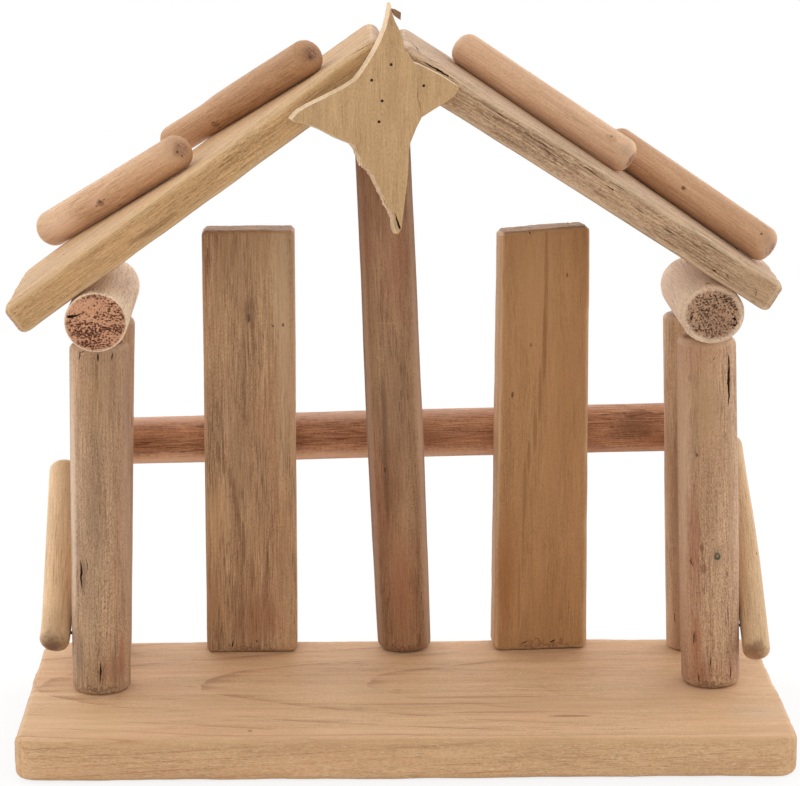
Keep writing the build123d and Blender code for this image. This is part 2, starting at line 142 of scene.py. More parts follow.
def groupSockets(tree, inputs):
    for name, kind in inputs.items():
        tree.interface.new_socket(name, in_out="INPUT", socket_type="NodeSocket" + inputKinds[kind][0])
    tree.interface.new_socket("Timber", in_out="OUTPUT", socket_type="NodeSocketGeometry")
    return addNode(tree, "GroupInput").outputs


def wear(tree, made, group):
    add = partial(addNode, tree)
    space = add("InputNamedAttribute", {"Name": "woodSpace"}, data_type="FLOAT_VECTOR")
    cut = add("InputNamedAttribute", {"Name": "cutEnd"})
    seed = add("VectorMath.SCALE", (0.37, 0.13, 0.71), {"Scale": group["Seed"]})
    rowStretch = add("CombineXYZ", {"X": 1.0, "Y": group["Pit Row"], "Z": 0.2})
    rowLong = add("VectorMath.MULTIPLY", rowStretch, (0.16, 0.07, 0.2))
    fields = {}
    for name, size, stretch in (("lump", "Lump Size", (1, 1, 0.4)), ("grain", "Grain Width", (1, 1, 0.035)),
                                ("pit", "Pit Size", rowStretch), ("row", "Pit Size", rowLong)):
        stretched = add("VectorMath.MULTIPLY_ADD", space, stretch, seed)
        scale = add("Math.DIVIDE", 1.0, group[size])
        fields[name] = add("TexNoise", {"Vector": stretched, "Scale": scale, "Detail": 2.0})
    row = add("Math.SUBTRACT", fields["row"], 0.5)
    pit = add("Math.MULTIPLY_ADD", row, group["Pit Gather"], fields["pit"])
    pit = add("MapRange", {"Value": pit, "From Min": 0.52, "From Max": 0.6})
    pit = add("Math.MULTIPLY", pit, cut)
    rise = add("Math.SUBTRACT", fields["lump"], 0.5)
    rise = add("Math.MULTIPLY", rise, group["Lump"])
    grainRise = add("Math.SUBTRACT", fields["grain"], 0.5)
    rise = add("Math.MULTIPLY_ADD", grainRise, group["Grain"], rise)
    pitDrop = add("Math.MULTIPLY", pit, group["Pit"])
    rise = add("Math.SUBTRACT", rise, pitDrop)
    push = add("VectorMath.SCALE", add("InputNormal"), {"Scale": rise})
    pitted = add("StoreNamedAttribute", {"Geometry": made, "Name": "pit", "Value": pit})
    return add("SetPosition", {"Geometry": pitted, "Offset": push})


def finishTree(tree, made, group):
    add = partial(addNode, tree)
    smooth = add("SetShadeSmooth", {"Geometry": made})
    real = add("RealizeInstances", {"Geometry": smooth})
    wooded = add("SetMaterial", {"Geometry": real, "Material": group["Wood"]})
    add("GroupOutput", {"Timber": wooded})
    return tree


# a stick swept along its guide curve, round, with worn arrises and end faces
def makeStickTree():
    tree = bpy.data.node_groups.new("debarkedStick", "GeometryNodeTree")
    add = partial(addNode, tree)
    group = groupSockets(tree, stickInputs)
    guide = add("CurveSplineType", {"Curve": group["Guide"]}, spline_type="CATMULL_ROM")
    length = add("CurveLength", {"Curve": guide})
    half = add("Math.MULTIPLY", length, 0.5)
    rings = add("Math.MULTIPLY_ADD", group["Cap Rings"], 2.0, group["Body Rings"])
    sheet = add("MeshGrid", {"Size X": 1.0, "Size Y": 1.0, "Vertices X": group["Sides"],
                             "Vertices Y": rings})
    flat = add("SeparateXYZ", add("InputPosition"))
    angle = add("Math.MULTIPLY", flat.outputs["X"], 2 * pi)
    side = add("Math.SIGN", flat.outputs["Y"])
    middle = add("Math.ABSOLUTE", flat.outputs["Y"])
    # each end takes two thirds of its cap rings on the flat face, the rest on the arris
    fromEnd = add("Math.SUBTRACT", 0.5, middle)
    capShare = add("Math.DIVIDE", group["Cap Rings"], rings)
    cap = add("Math.DIVIDE", fromEnd, capShare, use_clamp=True)
    face = add("Math.MULTIPLY", cap, 1.5, use_clamp=True)
    bend = add("MapRange", {"Value": cap, "From Min": 1 / 1.5, "From Max": 1.0, "To Max": pi / 2})
    body = add("MapRange", {"Value": fromEnd, "From Min": capShare, "From Max": 0.5})
    bendSin = add("Math.SINE", bend)
    bendCos = add("Math.COSINE", bend)
    drop = add("Math.SUBTRACT", 1.0, bendCos)
    drop = add("Math.MULTIPLY", drop, group["Arris"])
    halfBody = add("Math.SUBTRACT", half, group["Arris"])
    inward = add("Math.MULTIPLY_ADD", body, halfBody, drop)
    outward = add("Math.SUBTRACT", half, inward)
    along = add("Math.MULTIPLY_ADD", outward, side, half)
    share = add("Math.DIVIDE", along, length)
    spot = add("SampleCurve", {"Curves": guide, "Value": add("InputRadius"), "Factor": share},
               mode="FACTOR")
    inner = add("Math.SUBTRACT", spot.outputs["Value"], group["Arris"])
    reach = add("Math.MULTIPLY", bendSin, group["Arris"])
    reach = add("Math.MULTIPLY_ADD", face, inner, reach)
    twice = add("Math.MULTIPLY_ADD", angle, 2.0, group["Oval Turn"])
    oval = add("Math.COSINE", twice)
    oval = add("Math.MULTIPLY_ADD", oval, group["Oval"], 1.0)
    reach = add("Math.MULTIPLY", reach, oval)
    # sections lie square to the guide, or square to the section way where one is given
    given = add("VectorMath.LENGTH", group["Section Way"]).outputs["Value"]
    way = add("Switch", {"Switch": given, "False": spot.outputs["Tangent"], "True": group["Section Way"]},
              input_type="VECTOR")
    lean = add("VectorMath.PROJECT", group["Facing"], way)
    front = add("VectorMath.SUBTRACT", group["Facing"], lean)
    front = add("VectorMath.NORMALIZE", front)
    across = add("VectorMath.CROSS_PRODUCT", way, front)
    toFront = add("Math.MULTIPLY", add("Math.COSINE", angle), reach)
    toSide = add("Math.MULTIPLY", add("Math.SINE", angle), reach)
    place = add("VectorMath.SCALE", front, {"Scale": toFront})
    place = add("VectorMath.ADD", place, spot.outputs["Position"])
    sideways = add("VectorMath.SCALE", across, {"Scale": toSide})
    place = add("VectorMath.ADD", place, sideways)
    space = add("CombineXYZ", {"X": toFront, "Y": toSide, "Z": along})
    cut = add("MapRange", {"Value": cap, "From Min": 0.62, "From Max": 0.76, "To Min": 1.0, "To Max": 0.0})
    worn = add("Math.MULTIPLY", bend, 2.0)
    worn = add("Math.SINE", worn)
    made = add("StoreNamedAttribute", {"Geometry": sheet, "Name": "woodSpace", "Value": space},
               data_type="FLOAT_VECTOR")
    made = add("StoreNamedAttribute", {"Geometry": made, "Name": "cutEnd", "Value": cut})
    made = add("StoreNamedAttribute", {"Geometry": made, "Name": "wornEdge", "Value": worn})
    made = add("SetPosition", {"Geometry": made, "Position": place})
    made = add("MergeByDistance", {"Geometry": made, "Distance": wearPattern["weld"]})
    return finishTree(tree, wear(tree, made, group), group)


# a board as a fine box whose edges and plan corners are rounded, then bowed and set in place
def makeBoardTree():
    tree = bpy.data.node_groups.new("sawnBoard", "GeometryNodeTree")
    add = partial(addNode, tree)
    group = groupSockets(tree, boardInputs)
    stepCount = add("Math.DIVIDE", 1.0, group["Step"])
    counts = add("VectorMath.SCALE", group["Size"], {"Scale": stepCount})
    counts = add("SeparateXYZ", counts).outputs
    box = add("MeshCube", {"Size": group["Size"], "Vertices X": counts["X"], "Vertices Y": counts["Y"],
                           "Vertices Z": counts["Z"]})
    spot = add("InputPosition")
    half = add("VectorMath.SCALE", group["Size"], {"Scale": 0.5})
    seed = add("VectorMath.SCALE", (0.19, 0.53, 0.29), {"Scale": group["Seed"]})
    # edges are worn unevenly, between 0.6 and 1.4 of their rounding
    edgeSpot = add("VectorMath.ADD", spot, seed)
    edgeNoise = add("TexNoise", {"Vector": edgeSpot, "Scale": wearPattern["edgePatch"], "Detail": 2.0})
    edge = add("MapRange", {"Value": edgeNoise, "From Min": 0.3, "From Max": 0.7, "To Min": 0.6,
                            "To Max": 1.4})
    edge = add("Math.MULTIPLY", edge, group["Edge"])
    edges = add("CombineXYZ", {"X": edge, "Y": edge, "Z": edge})
    limit = add("VectorMath.SUBTRACT", half, edges)
    floorLimit = add("VectorMath.SCALE", limit, {"Scale": -1.0})
    inner = add("VectorMath.MINIMUM", spot, limit)
    inner = add("VectorMath.MAXIMUM", inner, floorLimit)
    outer = add("VectorMath.SUBTRACT", spot, inner)
    outer = add("VectorMath.NORMALIZE", outer)
    outerSize = add("SeparateXYZ", add("VectorMath.ABSOLUTE", outer)).outputs
    outerMost = add("Math.MAXIMUM", outerSize["X"], outerSize["Y"])
    outerMost = add("Math.MAXIMUM", outerMost, outerSize["Z"])
    worn = add("MapRange", {"Value": outerMost, "From Min": 1.0, "From Max": 0.72, "To Min": 0.0,
                            "To Max": 1.0})
    outer = add("VectorMath.SCALE", outer, {"Scale": edge})
    rounded = add("VectorMath.ADD", inner, outer)
    # plan corners: the square corner zone is drawn in to a quarter disc
    corner = add("CombineXYZ", {"X": group["Corner"], "Y": group["Corner"]})
    straight = add("VectorMath.SUBTRACT", half, corner)
    size = add("VectorMath.ABSOLUTE", rounded)
    sign = add("VectorMath.SIGN", rounded)
    kept = add("VectorMath.MINIMUM", size, straight)
    over = add("VectorMath.SUBTRACT", size, kept)
    over = add("VectorMath.MULTIPLY", over, (1, 1, 0))
    overSize = add("VectorMath.LENGTH", over).outputs["Value"]
    overAxes = add("SeparateXYZ", over).outputs
    overMost = add("Math.MAXIMUM", overAxes["X"], overAxes["Y"])
    draw = add("Math.DIVIDE", overMost, overSize)
    over = add("VectorMath.SCALE", over, {"Scale": draw})
    kept = add("VectorMath.ADD", kept, over)
    shaped = add("VectorMath.MULTIPLY", kept, sign)
    axes = add("SeparateXYZ", shaped).outputs
    halves = add("SeparateXYZ", half).outputs
    lengthShare = add("Math.DIVIDE", axes["X"], halves["X"])
    widthShare = add("Math.DIVIDE", axes["Y"], halves["Y"])
    frontShare = add("MapRange", {"Value": add("Math.DIVIDE", axes["Z"], halves["Z"]), "From Min": -1.0})
    square = add("Math.MULTIPLY", lengthShare, lengthShare)
    rise = add("Math.SUBTRACT", 1.0, square)
    rise = add("Math.MULTIPLY_ADD", rise, group["Bow"], axes["Z"])
    # the far end slopes across the width and is narrower, the near end is sawn askew
    farShare = add("MapRange", {"Value": lengthShare, "From Min": -1.0})
    nearShare = add("MapRange", {"Value": lengthShare, "From Min": -1.0, "From Max": 0.0, "To Min": 1.0,
                                 "To Max": 0.0})
    farPush = add("Math.MULTIPLY", farShare, group["Top Slope"])
    nearPush = add("Math.MULTIPLY_ADD", nearShare, group["End Skew"], farPush)
    run = add("Math.MULTIPLY_ADD", nearPush, widthShare, axes["X"])
    leanPush = add("Math.MULTIPLY", farShare, group["Top Lean"])
    run = add("Math.MULTIPLY_ADD", leanPush, frontShare, run)
    narrow = add("Math.MULTIPLY", farShare, group["Taper"])
    narrow = add("Math.MULTIPLY", narrow, widthShare)
    wide = add("Math.SUBTRACT", axes["Y"], narrow)
    place = group["Middle"]
    for way, reach in (("Length Way", run), ("Width Way", wide), ("Out Way", rise)):
        step = add("VectorMath.SCALE", group[way], {"Scale": reach})
        place = add("VectorMath.ADD", place, step)
    space = add("CombineXYZ", {"X": axes["Z"], "Y": axes["Y"], "Z": axes["X"]})
    lengthSize = add("Math.ABSOLUTE", lengthShare)
    toEnd = add("Math.SUBTRACT", 1.0, lengthSize)
    toEnd = add("Math.MULTIPLY", toEnd, halves["X"])
    cut = add("MapRange", {"Value": toEnd, "From Min": 0.2 * mm, "From Max": 1.2 * mm, "To Min": 1.0,
                           "To Max": 0.0})
    made = add("StoreNamedAttribute", {"Geometry": box, "Name": "woodSpace", "Value": space},
               data_type="FLOAT_VECTOR")
    made = add("StoreNamedAttribute", {"Geometry": made, "Name": "cutEnd", "Value": cut})
    made = add("StoreNamedAttribute", {"Geometry": made, "Name": "wornEdge", "Value": worn})
    made = add("SetPosition", {"Geometry": made, "Position": place})
    # rough sawn side: torn ridges along the grain
    normal = add("InputNormal")
    turned = add("VectorMath.DOT_PRODUCT", normal, group["Rough Way"]).outputs["Value"]
    rough = add("MapRange", {"Value": turned, "From Min": 0.6, "From Max": 0.95})
    named = add("InputNamedAttribute", {"Name": "woodSpace"}, data_type="FLOAT_VECTOR")
    torn = add("VectorMath.MULTIPLY_ADD", named, (1, 1, 0.14), seed)
    torn = add("TexNoise", {"Vector": torn, "Scale": wearPattern["tornRidge"], "Detail": 3.0,
                            "Distortion": 0.6})
    torn = add("Math.SUBTRACT", torn, 0.5)
    torn = add("Math.MULTIPLY", torn, group["Rough"])
    torn = add("Math.MULTIPLY", torn, rough)
    torn = add("VectorMath.SCALE", normal, {"Scale": torn})
    made = add("StoreNamedAttribute", {"Geometry": made, "Name": "roughSawn", "Value": rough})
    made = add("SetPosition", {"Geometry": made, "Offset": torn})
    made = wear(tree, made, group)
    # loose fibres on the rough side: short bent strands, three-sided, along the grain with some spread
    roughNow = add("InputNamedAttribute", {"Name": "roughSawn"})
    density = add("Math.MULTIPLY", roughNow, group["Fibres"])
    scatter = add("DistributePointsOnFaces", {"Mesh": made, "Density": density, "Seed": 7})
    bow = add("CurveQuadraticBezier", {"Resolution": 4, "Start": (-0.5, 0, -0.04),
                                       "Middle": (0, 0.12, 0.14), "End": (0.5, 0, 0.02)})
    slim = add("Math.DIVIDE", group["Fibre Width"], group["Fibre Length"])
    section = add("CurvePrimitiveCircle", {"Resolution": 3, "Radius": slim})
    strand = add("CurveToMesh", {"Curve": bow, "Profile Curve": section, "Fill Caps": True})
    strand = add("StoreNamedAttribute", {"Geometry": strand, "Name": "tornFibre", "Value": 1.0})
    turn = add("AlignRotationToVector", {"Vector": scatter.outputs["Normal"]}, axis="Z")
    turn = add("AlignRotationToVector", {"Rotation": turn, "Vector": group["Length Way"]}, axis="X",
               pivot_axis="Z")
    yaw = add("RandomValue", {"Min": -0.7, "Max": 0.7, "Seed": 3}, data_type="FLOAT")
    yaw = add("AxisAngleToRotation", {"Axis": (0, 0, 1), "Angle": yaw})
    turn = add("RotateRotation", {"Rotation": turn, "Rotate By": yaw}, rotation_space="LOCAL")
    size = add("RandomValue", {"Min": 0.4, "Max": 1.3, "Seed": 5}, data_type="FLOAT")
    size = add("Math.MULTIPLY", size, group["Fibre Length"])
    fibres = add("InstanceOnPoints", {"Points": scatter.outputs["Points"], "Instance": strand,
                                      "Rotation": turn, "Scale": size})
    joined = add("JoinGeometry", {"Geometry": made})
    tree.links.new(fibres.outputs[0], joined.inputs[0])
    return finishTree(tree, joined, group)


stickTree = makeStickTree()
boardTree = makeBoardTree()
print("geometry trees built")


def shapeBy(tree, inputs, host, piece, wood):  # runs a tree on its host and keeps the plain mesh
    modifier = host.modifiers.new(tree.name, "NODES")
    modifier.node_group = tree
    for item in tree.interface.items_tree:
        if item.in_out == "OUTPUT":
            continue
        socket, factor = inputKinds[inputs[item.name]]
        key = item.name[0].lower() + item.name[1:].replace(" ", "")
        if socket == "Material":
            modifier[item.identifier] = wood
        elif socket == "Vector":
            modifier[item.identifier] = [value * factor for value in piece[key]]
        elif factor:
            modifier[item.identifier] = piece[key] * factor
    bpy.context.view_layer.update()
    made = host.evaluated_get(bpy.context.evaluated_depsgraph_get())
    mesh = bpy.data.meshes.new_from_object(made)
    bpy.data.objects.remove(host)
    return mesh


def keepPiece(name, mesh, node):
    mesh.name = name
    piece = bpy.data.objects.new(name, mesh)
    bpy.context.scene.collection.objects.link(piece)
    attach(piece, "root")
    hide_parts(node)


def gritMaterial(name, grit, dark, light, surface):  # two tones in grains of a size in millimetres
    material = bpy.data.materials.new(name)
    add = clearTree(material)
    grains = add("TexNoise", {
        "Vector": add("TexCoord").outputs["Object"], "Scale": 1 / (grit * mm), "Detail": 2.0})
    tone = add("Mix", {"Factor": grains, "A": linear(dark), "B": linear(light)}, data_type="RGBA")
    add("OutputMaterial", {"Surface": add("BsdfPrincipled", {"Base Color": tone, **surface})})
    return material


# inside of holes and cracks: very dark colour, painted shade for the shadow inside them, on wood browned by
# age
holeWood = gritMaterial("agedWoodInHoles", 0.8, "#2C160B", "#55301A",
                        {"Roughness": 0.85, "IOR": 1.5, "Specular IOR Level": 0.2})
holeShape = dict(radius=0.55, above=2.0, below=0.75, sides=14)
# a crack tapers to its ends, sways and varies in width; step in pixels, Scale per millimetre
crackShape = dict(step=2.5, leastTaper=0.15, taperPower=0.6, sway=0.35, swayScale=0.6, uneven=0.5,
                  unevenScale=1.7)


def addHoleCutter(cutter, spot, way):
    way = Vector(way).normalized()
    long = holeShape["above"] + holeShape["below"]
    centre = Vector(spot) + way * (holeShape["below"] - long / 2)
    place = Matrix.Translation(centre * mm) @ way.to_track_quat("Z", "Y").to_matrix().to_4x4()
    radius = holeShape["radius"] * mm
    bmesh.ops.create_cone(cutter, cap_ends=True, segments=holeShape["sides"], radius1=radius,
                          radius2=radius, depth=long * mm, matrix=place)


def addCrackCutter(cutter, mesh, search, crack):  # a wavy wedge along pixels of the photograph
    shape = crackShape
    pixels, width, depth = crack[:3]
    openStart = len(crack) > 3
    spots = []
    for start, end in zip(pixels, pixels[1:]):
        start, end = Vector(start), Vector(end)
        count = max(2, round((end - start).length / shape["step"]))
        spots += [onMesh(mesh, search, start.lerp(end, i / count))[:2] for i in range(count)]
    spots.append(onMesh(mesh, search, pixels[-1])[:2])
    rows = []
    for i, (place, normal) in enumerate(spots):
        share = i / (len(spots) - 1)
        swell = sin(pi * (0.5 + share / 2 if openStart else share))
        taper = max(shape["leastTaper"], swell ** shape["taperPower"])
        along = spots[min(i + 1, len(spots) - 1)][0] - spots[max(i - 1, 0)][0]
        side = normal.cross(along).normalized()
        sway = side * noise.noise(place * shape["swayScale"]) * shape["sway"]
        uneven = 1 + shape["uneven"] * noise.noise(place * shape["unevenScale"])
        half = side * width / 2 * taper * uneven
        low = place + sway - normal * depth * taper
        corners = (place + sway + half + normal, place + sway - half + normal, low)
        rows.append([cutter.verts.new(p * mm) for p in corners])
    for row, after in zip(rows, rows[1:]):
        for j in range(3):
            cutter.faces.new((row[j], row[(j + 1) % 3], after[(j + 1) % 3], after[j]))
    cutter.faces.new(rows[0])
    cutter.faces.new(rows[-1])


def carve(mesh, holes=(), cracks=(), blocks=()):  # cuts holes, cracks and blocks out of a piece
    search = searchTree(mesh)
    cutter = bmesh.new()
    for spot, way in holes:
        addHoleCutter(cutter, spot, way)
    for crack in cracks:
        addCrackCutter(cutter, mesh, search, crack)
    for outline, depthWay in blocks:
        near = [cutter.verts.new(Vector(p) * mm) for p in outline]
        far = [cutter.verts.new((Vector(p) + Vector(depthWay)) * mm) for p in outline]
        for i in range(len(near)):
            j = (i + 1) % len(near)
            cutter.faces.new((near[i], near[j], far[j], far[i]))
        cutter.faces.new(near)
        cutter.faces.new(far)
    bmesh.ops.recalc_face_normals(cutter, faces=cutter.faces)
    cutterMesh = bpy.data.meshes.new("cutter")
    cutter.to_mesh(cutterMesh)
    cutter.free()
    mesh.materials.append(holeWood)
    for material in mesh.materials:
        cutterMesh.materials.append(material)
    for face in cutterMesh.polygons:
        face.material_index = len(mesh.materials) - 1
    host = bpy.data.objects.new("carved", mesh)
    tool = bpy.data.objects.new("cutter", cutterMesh)
    for thing in (host, tool):
        bpy.context.scene.collection.objects.link(thing)
    modifier = host.modifiers.new("cut", "BOOLEAN")
    modifier.operation = "DIFFERENCE"
    modifier.solver = "MANIFOLD"
    modifier.object = tool
    bpy.context.view_layer.update()
    carved = bpy.data.meshes.new_from_object(host.evaluated_get(bpy.context.evaluated_depsgraph_get()))
    # corners made by the cut take their attributes from the uncut surface
    kinds = ("FLOAT", "FLOAT_VECTOR")
    names = [a.name for a in mesh.attributes if a.domain == "POINT" and a.data_type in kinds]
    names = [n for n in names if n != "position" and n in carved.attributes]
    for i, vertex in enumerate(carved.vertices):
        if carved.attributes["woodSpace"].data[i].vector.length == 0:
            place, normal, face, far = search.find_nearest(vertex.co)
            corners = mesh.polygons[face].vertices
            weights = poly_3d_calc([mesh.vertices[c].co for c in corners], place)
            for name in names:
                given = mesh.attributes[name]
                key = "vector" if given.data_type == "FLOAT_VECTOR" else "value"
                worth = [getattr(given.data[c], key) * w for c, w in zip(corners, weights)]
                setattr(carved.attributes[name].data[i], key, sum(worth[1:], worth[0]))
    for face in carved.polygons:  # the cut keeps crisp edges
        if face.material_index == len(mesh.materials) - 1:
            face.use_smooth = False
    for thing in (host, tool):
        bpy.data.objects.remove(thing)
    return carved


# bare weathered wood: dull, fine straight fibres with short dark pores, paler worn edges, open end grain.
# Sizes are across the grain, Long ones along it, and Depth is how strongly a pattern shows. Fibres finer
# than a pixel are drawn about 0.5 wide so that they show.
plainLook = dict(
    seed=1, light="#D8B48E", dark="#A87F5C", tone=0.35, wave=2.5, roughness=0.7, bump=0.7, fibre=0.42,
    fibreDepth=0.5, band=4.5, bandDepth=0.35, streak=0.5, streakLong=7.0, streakDepth=0.6, speck=0.42,
    speckDepth=0.5, dot=0.9, dotDepth=0.2, hair=1.3, hairLong=40.0, hairDepth=0.3, ring=3.4, ringDepth=0.0,
    ringSharp=9.0, ringEnd=(500.0, 600.0), endRing=1.5, endRingDepth=0.3, pith=(-150.0, 0.0),
    lean=(0.0, 0.0), stain="#9A7355", stainSize=26.0, stainDepth=0.45, tint="#B58468", tintSize=34.0,
    tintDepth=0.3, edgeTone="#E4CBAE", edgeDepth=0.35, end="#C39A7C", endDark="#6E4830", pitTone=0.35,
    fibreTone="#E6CFAE", marks=())
ringScale = 0.314  # scale of the wave texture for rings one millimetre apart


def fillWood(wood, look, marks):
    add = clearTree(wood)
    seed = look["seed"]
    space = add("Attribute", attribute_name="woodSpace").outputs["Vector"]
    space = add("VectorMath.SCALE", space, {"Scale": 1 / mm})
    shifted = add("VectorMath.ADD", space, (seed * 37.0, seed * 13.0, seed * 71.0))
    # slow waves in the fibre direction
    wavy = add("VectorMath.MULTIPLY", shifted, (1, 1, 0.2))
    wave = add("TexNoise", {"Vector": wavy, "Scale": 1 / 16, "Detail": 2.0})
    wave = add("VectorMath.SUBTRACT", wave.outputs["Color"], (0.5, 0.5, 0.5))
    bent = add("VectorMath.MULTIPLY_ADD", wave, (look["wave"], look["wave"], 0.0), shifted)
    noises = {}
    for name, across, along, detail in (
            ("fibre", look["fibre"], look["fibre"] * 28, 3.0),
            ("band", look["band"], look["band"] * 16, 2.0),
            ("streak", look["streak"], look["streakLong"], 1.0),
            ("gather", 6.0, 45.0, 1.0),
            ("speck", look["speck"], look["speck"] * 2, 2.0),
            ("dot", look["dot"], look["dot"] * 1.6, 0.0),
            ("torn", 0.3, 2.2, 3.0),
            ("hair", look["hair"], look["hairLong"], 2.0),
            ("stain", look["stainSize"], look["stainSize"] * 2.5, 3.0),
            ("tint", look["tintSize"], look["tintSize"] * 3, 2.0)):
        stretched = add("VectorMath.MULTIPLY", bent, (1 / across, 1 / across, 1 / along))
        noises[name] = add("TexNoise", {"Vector": stretched, "Scale": 1.0, "Detail": detail})
    tone = look["tone"]
    for name in ("fibre", "band", "speck"):
        part = add("MapRange", {"Value": noises[name], "From Min": 0.3, "From Max": 0.7, "To Min": -0.5,
                                "To Max": 0.5}, clamp=False)
        tone = add("Math.MULTIPLY_ADD", part, look[name + "Depth"], tone)
    # pores: short dark dashes that gather in some bands
    streak = add("MapRange", {"Value": noises["streak"], "From Min": 0.56, "From Max": 0.7})
    gather = add("MapRange", {"Value": noises["gather"], "From Min": 0.4, "From Max": 0.62, "To Min": 0.25})
    streak = add("Math.MULTIPLY", streak, gather)
    tone = add("Math.MULTIPLY_ADD", streak, look["streakDepth"], tone)
    dot = add("MapRange", {"Value": noises["dot"], "From Min": 0.68, "From Max": 0.8})
    tone = add("Math.MULTIPLY_ADD", dot, look["dotDepth"], tone)
    # late wood of the growth rings: thin dark lines that fade in and out
    if look["ringDepth"]:
        ringSpace = add("VectorMath.MULTIPLY_ADD", wave, (0.8, look["wave"] * 1.5, 0.0), space)
        centre = (-look["pith"][0], -look["pith"][1], 0.0)
        lean = (radians(look["lean"][0]), radians(look["lean"][1]), 0.0)
        ringSpace = add("Mapping", {"Vector": ringSpace, "Location": centre, "Rotation": lean})
        ring = add("TexWave", {"Vector": ringSpace, "Scale": ringScale / look["ring"], "Distortion": 0.3,
                               "Detail": 2.0, "Detail Scale": 0.5}, wave_type="RINGS", rings_direction="Z",
                   wave_profile="SAW")
        ring = add("Math.POWER", ring.outputs["Fac"], look["ringSharp"])
        fade = add("MapRange", {"Value": noises["band"], "From Min": 0.38, "From Max": 0.6, "To Min": 0.1})
        ring = add("Math.MULTIPLY", ring, fade)
        plain = add("MapRange", {"Value": add("SeparateXYZ", space).outputs["Z"],
                                 "From Min": look["ringEnd"][0], "From Max": look["ringEnd"][1],
                                 "To Min": 1.0, "To Max": 0.2})
        ring = add("Math.MULTIPLY", ring, plain)
        tone = add("Math.MULTIPLY_ADD", ring, look["ringDepth"], tone)
    tone = add("Math.ADD", tone, 0.0, use_clamp=True)
    colour = add("Mix", {"Factor": tone, "A": linear(look["light"]), "B": linear(look["dark"])},
                 data_type="RGBA")
    layers = []
    # blotches where bark, damp or handling has tinted the wood
    for name in ("stain", "tint"):
        blotch = add("MapRange", {"Value": noises[name], "From Min": 0.46, "From Max": 0.68,
                                  "To Max": look[name + "Depth"]})
        layers.append((blotch, linear(look[name])))
    # hairlines where the wood has begun to check along the grain
    hair = add("Math.SUBTRACT", noises["hair"], 0.5)
    hair = add("Math.ABSOLUTE", hair)
    hair = add("MapRange", {"Value": hair, "From Min": 0.012, "From Max": 0.045, "To Min": 1.0,
                            "To Max": 0.0})
    hair = add("Math.MULTIPLY", hair, gather)
    hairTone = add("Math.MULTIPLY", hair, look["hairDepth"])
    layers.append((hairTone, linear(look["endDark"])))
    # worn edges are paler
    worn = add("Attribute", attribute_name="wornEdge").outputs["Fac"]
    worn = add("Math.MULTIPLY", worn, noises["fibre"])
    worn = add("Math.MULTIPLY", worn, look["edgeDepth"] * 2, use_clamp=True)
    layers.append((worn, linear(look["edgeTone"])))
    # end grain with its pits
    cut = add("Attribute", attribute_name="cutEnd").outputs["Fac"]
    pit = add("Attribute", attribute_name="pit").outputs["Fac"]
    grit = add("MapRange", {"Value": noises["speck"], "From Min": 0.4, "From Max": 0.75, "To Max": 0.5})
    endRing = add("TexWave", {"Vector": bent, "Scale": ringScale / look["endRing"], "Distortion": 1.0,
                              "Detail": 2.0}, wave_type="RINGS", rings_direction="Z")
    endTone = add("Math.MULTIPLY_ADD", endRing.outputs["Fac"], look["endRingDepth"], grit)
    deep = add("MapRange", {"Value": noises["speck"], "From Min": 0.36, "From Max": 0.52, "To Min": 0.5})
    pit = add("Math.MULTIPLY", pit, deep)
    endTone = add("Math.MULTIPLY_ADD", pit, look["pitTone"], endTone, use_clamp=True)
    endColour = add("Mix", {"Factor": endTone, "A": linear(look["end"]), "B": linear(look["endDark"])},
                    data_type="RGBA")
    layers.append((cut, endColour))
    # rough sawn side: torn fibres, pale on top and dark between
    rough = add("Attribute", attribute_name="roughSawn").outputs["Fac"]
    for low, high, hexColour, depth in ((0.54, 0.72, look["fibreTone"], 0.45),
                                        (0.46, 0.3, look["endDark"], 0.28)):
        torn = add("MapRange", {"Value": noises["torn"], "From Min": low, "From Max": high,
                                "To Max": depth})
        torn = add("Math.MULTIPLY", torn, rough)
        layers.append((torn, linear(hexColour)))
    # single marks: place, half sizes across and along the grain, colour and depth; some of them are painted
    # shade, painted shadows or painted highlights
    jitter = add("TexNoise", {"Vector": shifted, "Scale": 1 / 1.6, "Detail": 2.0})
    jitter = add("VectorMath.SUBTRACT", jitter.outputs["Color"], (0.5, 0.5, 0.5))
    for spot, across, along, hexColour, depth in marks:
        uneven = (across * 0.7, across * 0.7, across * 0.7)
        off = add("VectorMath.MULTIPLY_ADD", jitter, uneven, space)
        off = add("VectorMath.SUBTRACT", off, spot)
        off = add("VectorMath.MULTIPLY", off, (1 / across, 1 / across, 1 / along))
        off = add("VectorMath.LENGTH", off).outputs["Value"]
        soft = min(0.9, across / 5 + 0.1)
        off = add("MapRange", {"Value": off, "From Min": 1.0 - soft, "From Max": 1.05, "To Min": depth,
                               "To Max": 0.0}, interpolation_type="SMOOTHSTEP")
        layers.append((off, linear(hexColour)))
    strand = add("Attribute", attribute_name="tornFibre").outputs["Fac"]
    strand = add("Math.MULTIPLY", strand, 0.8)
    layers.append((strand, linear(look["fibreTone"])))
    for share, paint in layers:
        colour = add("Mix", {"Factor": share, "A": colour, "B": paint}, data_type="RGBA")
    height = add("Math.MULTIPLY_ADD", streak, -0.6, noises["fibre"])
    height = add("Math.MULTIPLY_ADD", noises["speck"], 0.4, height)
    height = add("Math.MULTIPLY_ADD", hairTone, -0.9, height)
    bump = add("Bump", {"Height": height, "Strength": look["bump"], "Distance": 0.3 * mm})
    gloss = add("MapRange", {"Value": noises["fibre"], "To Min": look["roughness"] - 0.1,
                             "To Max": look["roughness"] + 0.1})
    shader = add("BsdfPrincipled", {"Base Color": colour, "Roughness": gloss, "Normal": bump, "IOR": 1.5,
                                    "Specular IOR Level": 0.35, "Sheen Weight": 0.12,
                                    "Sheen Roughness": 0.4, "Sheen Tint": linear("#FFF4E6")})
    add("OutputMaterial", {"Surface": shader})


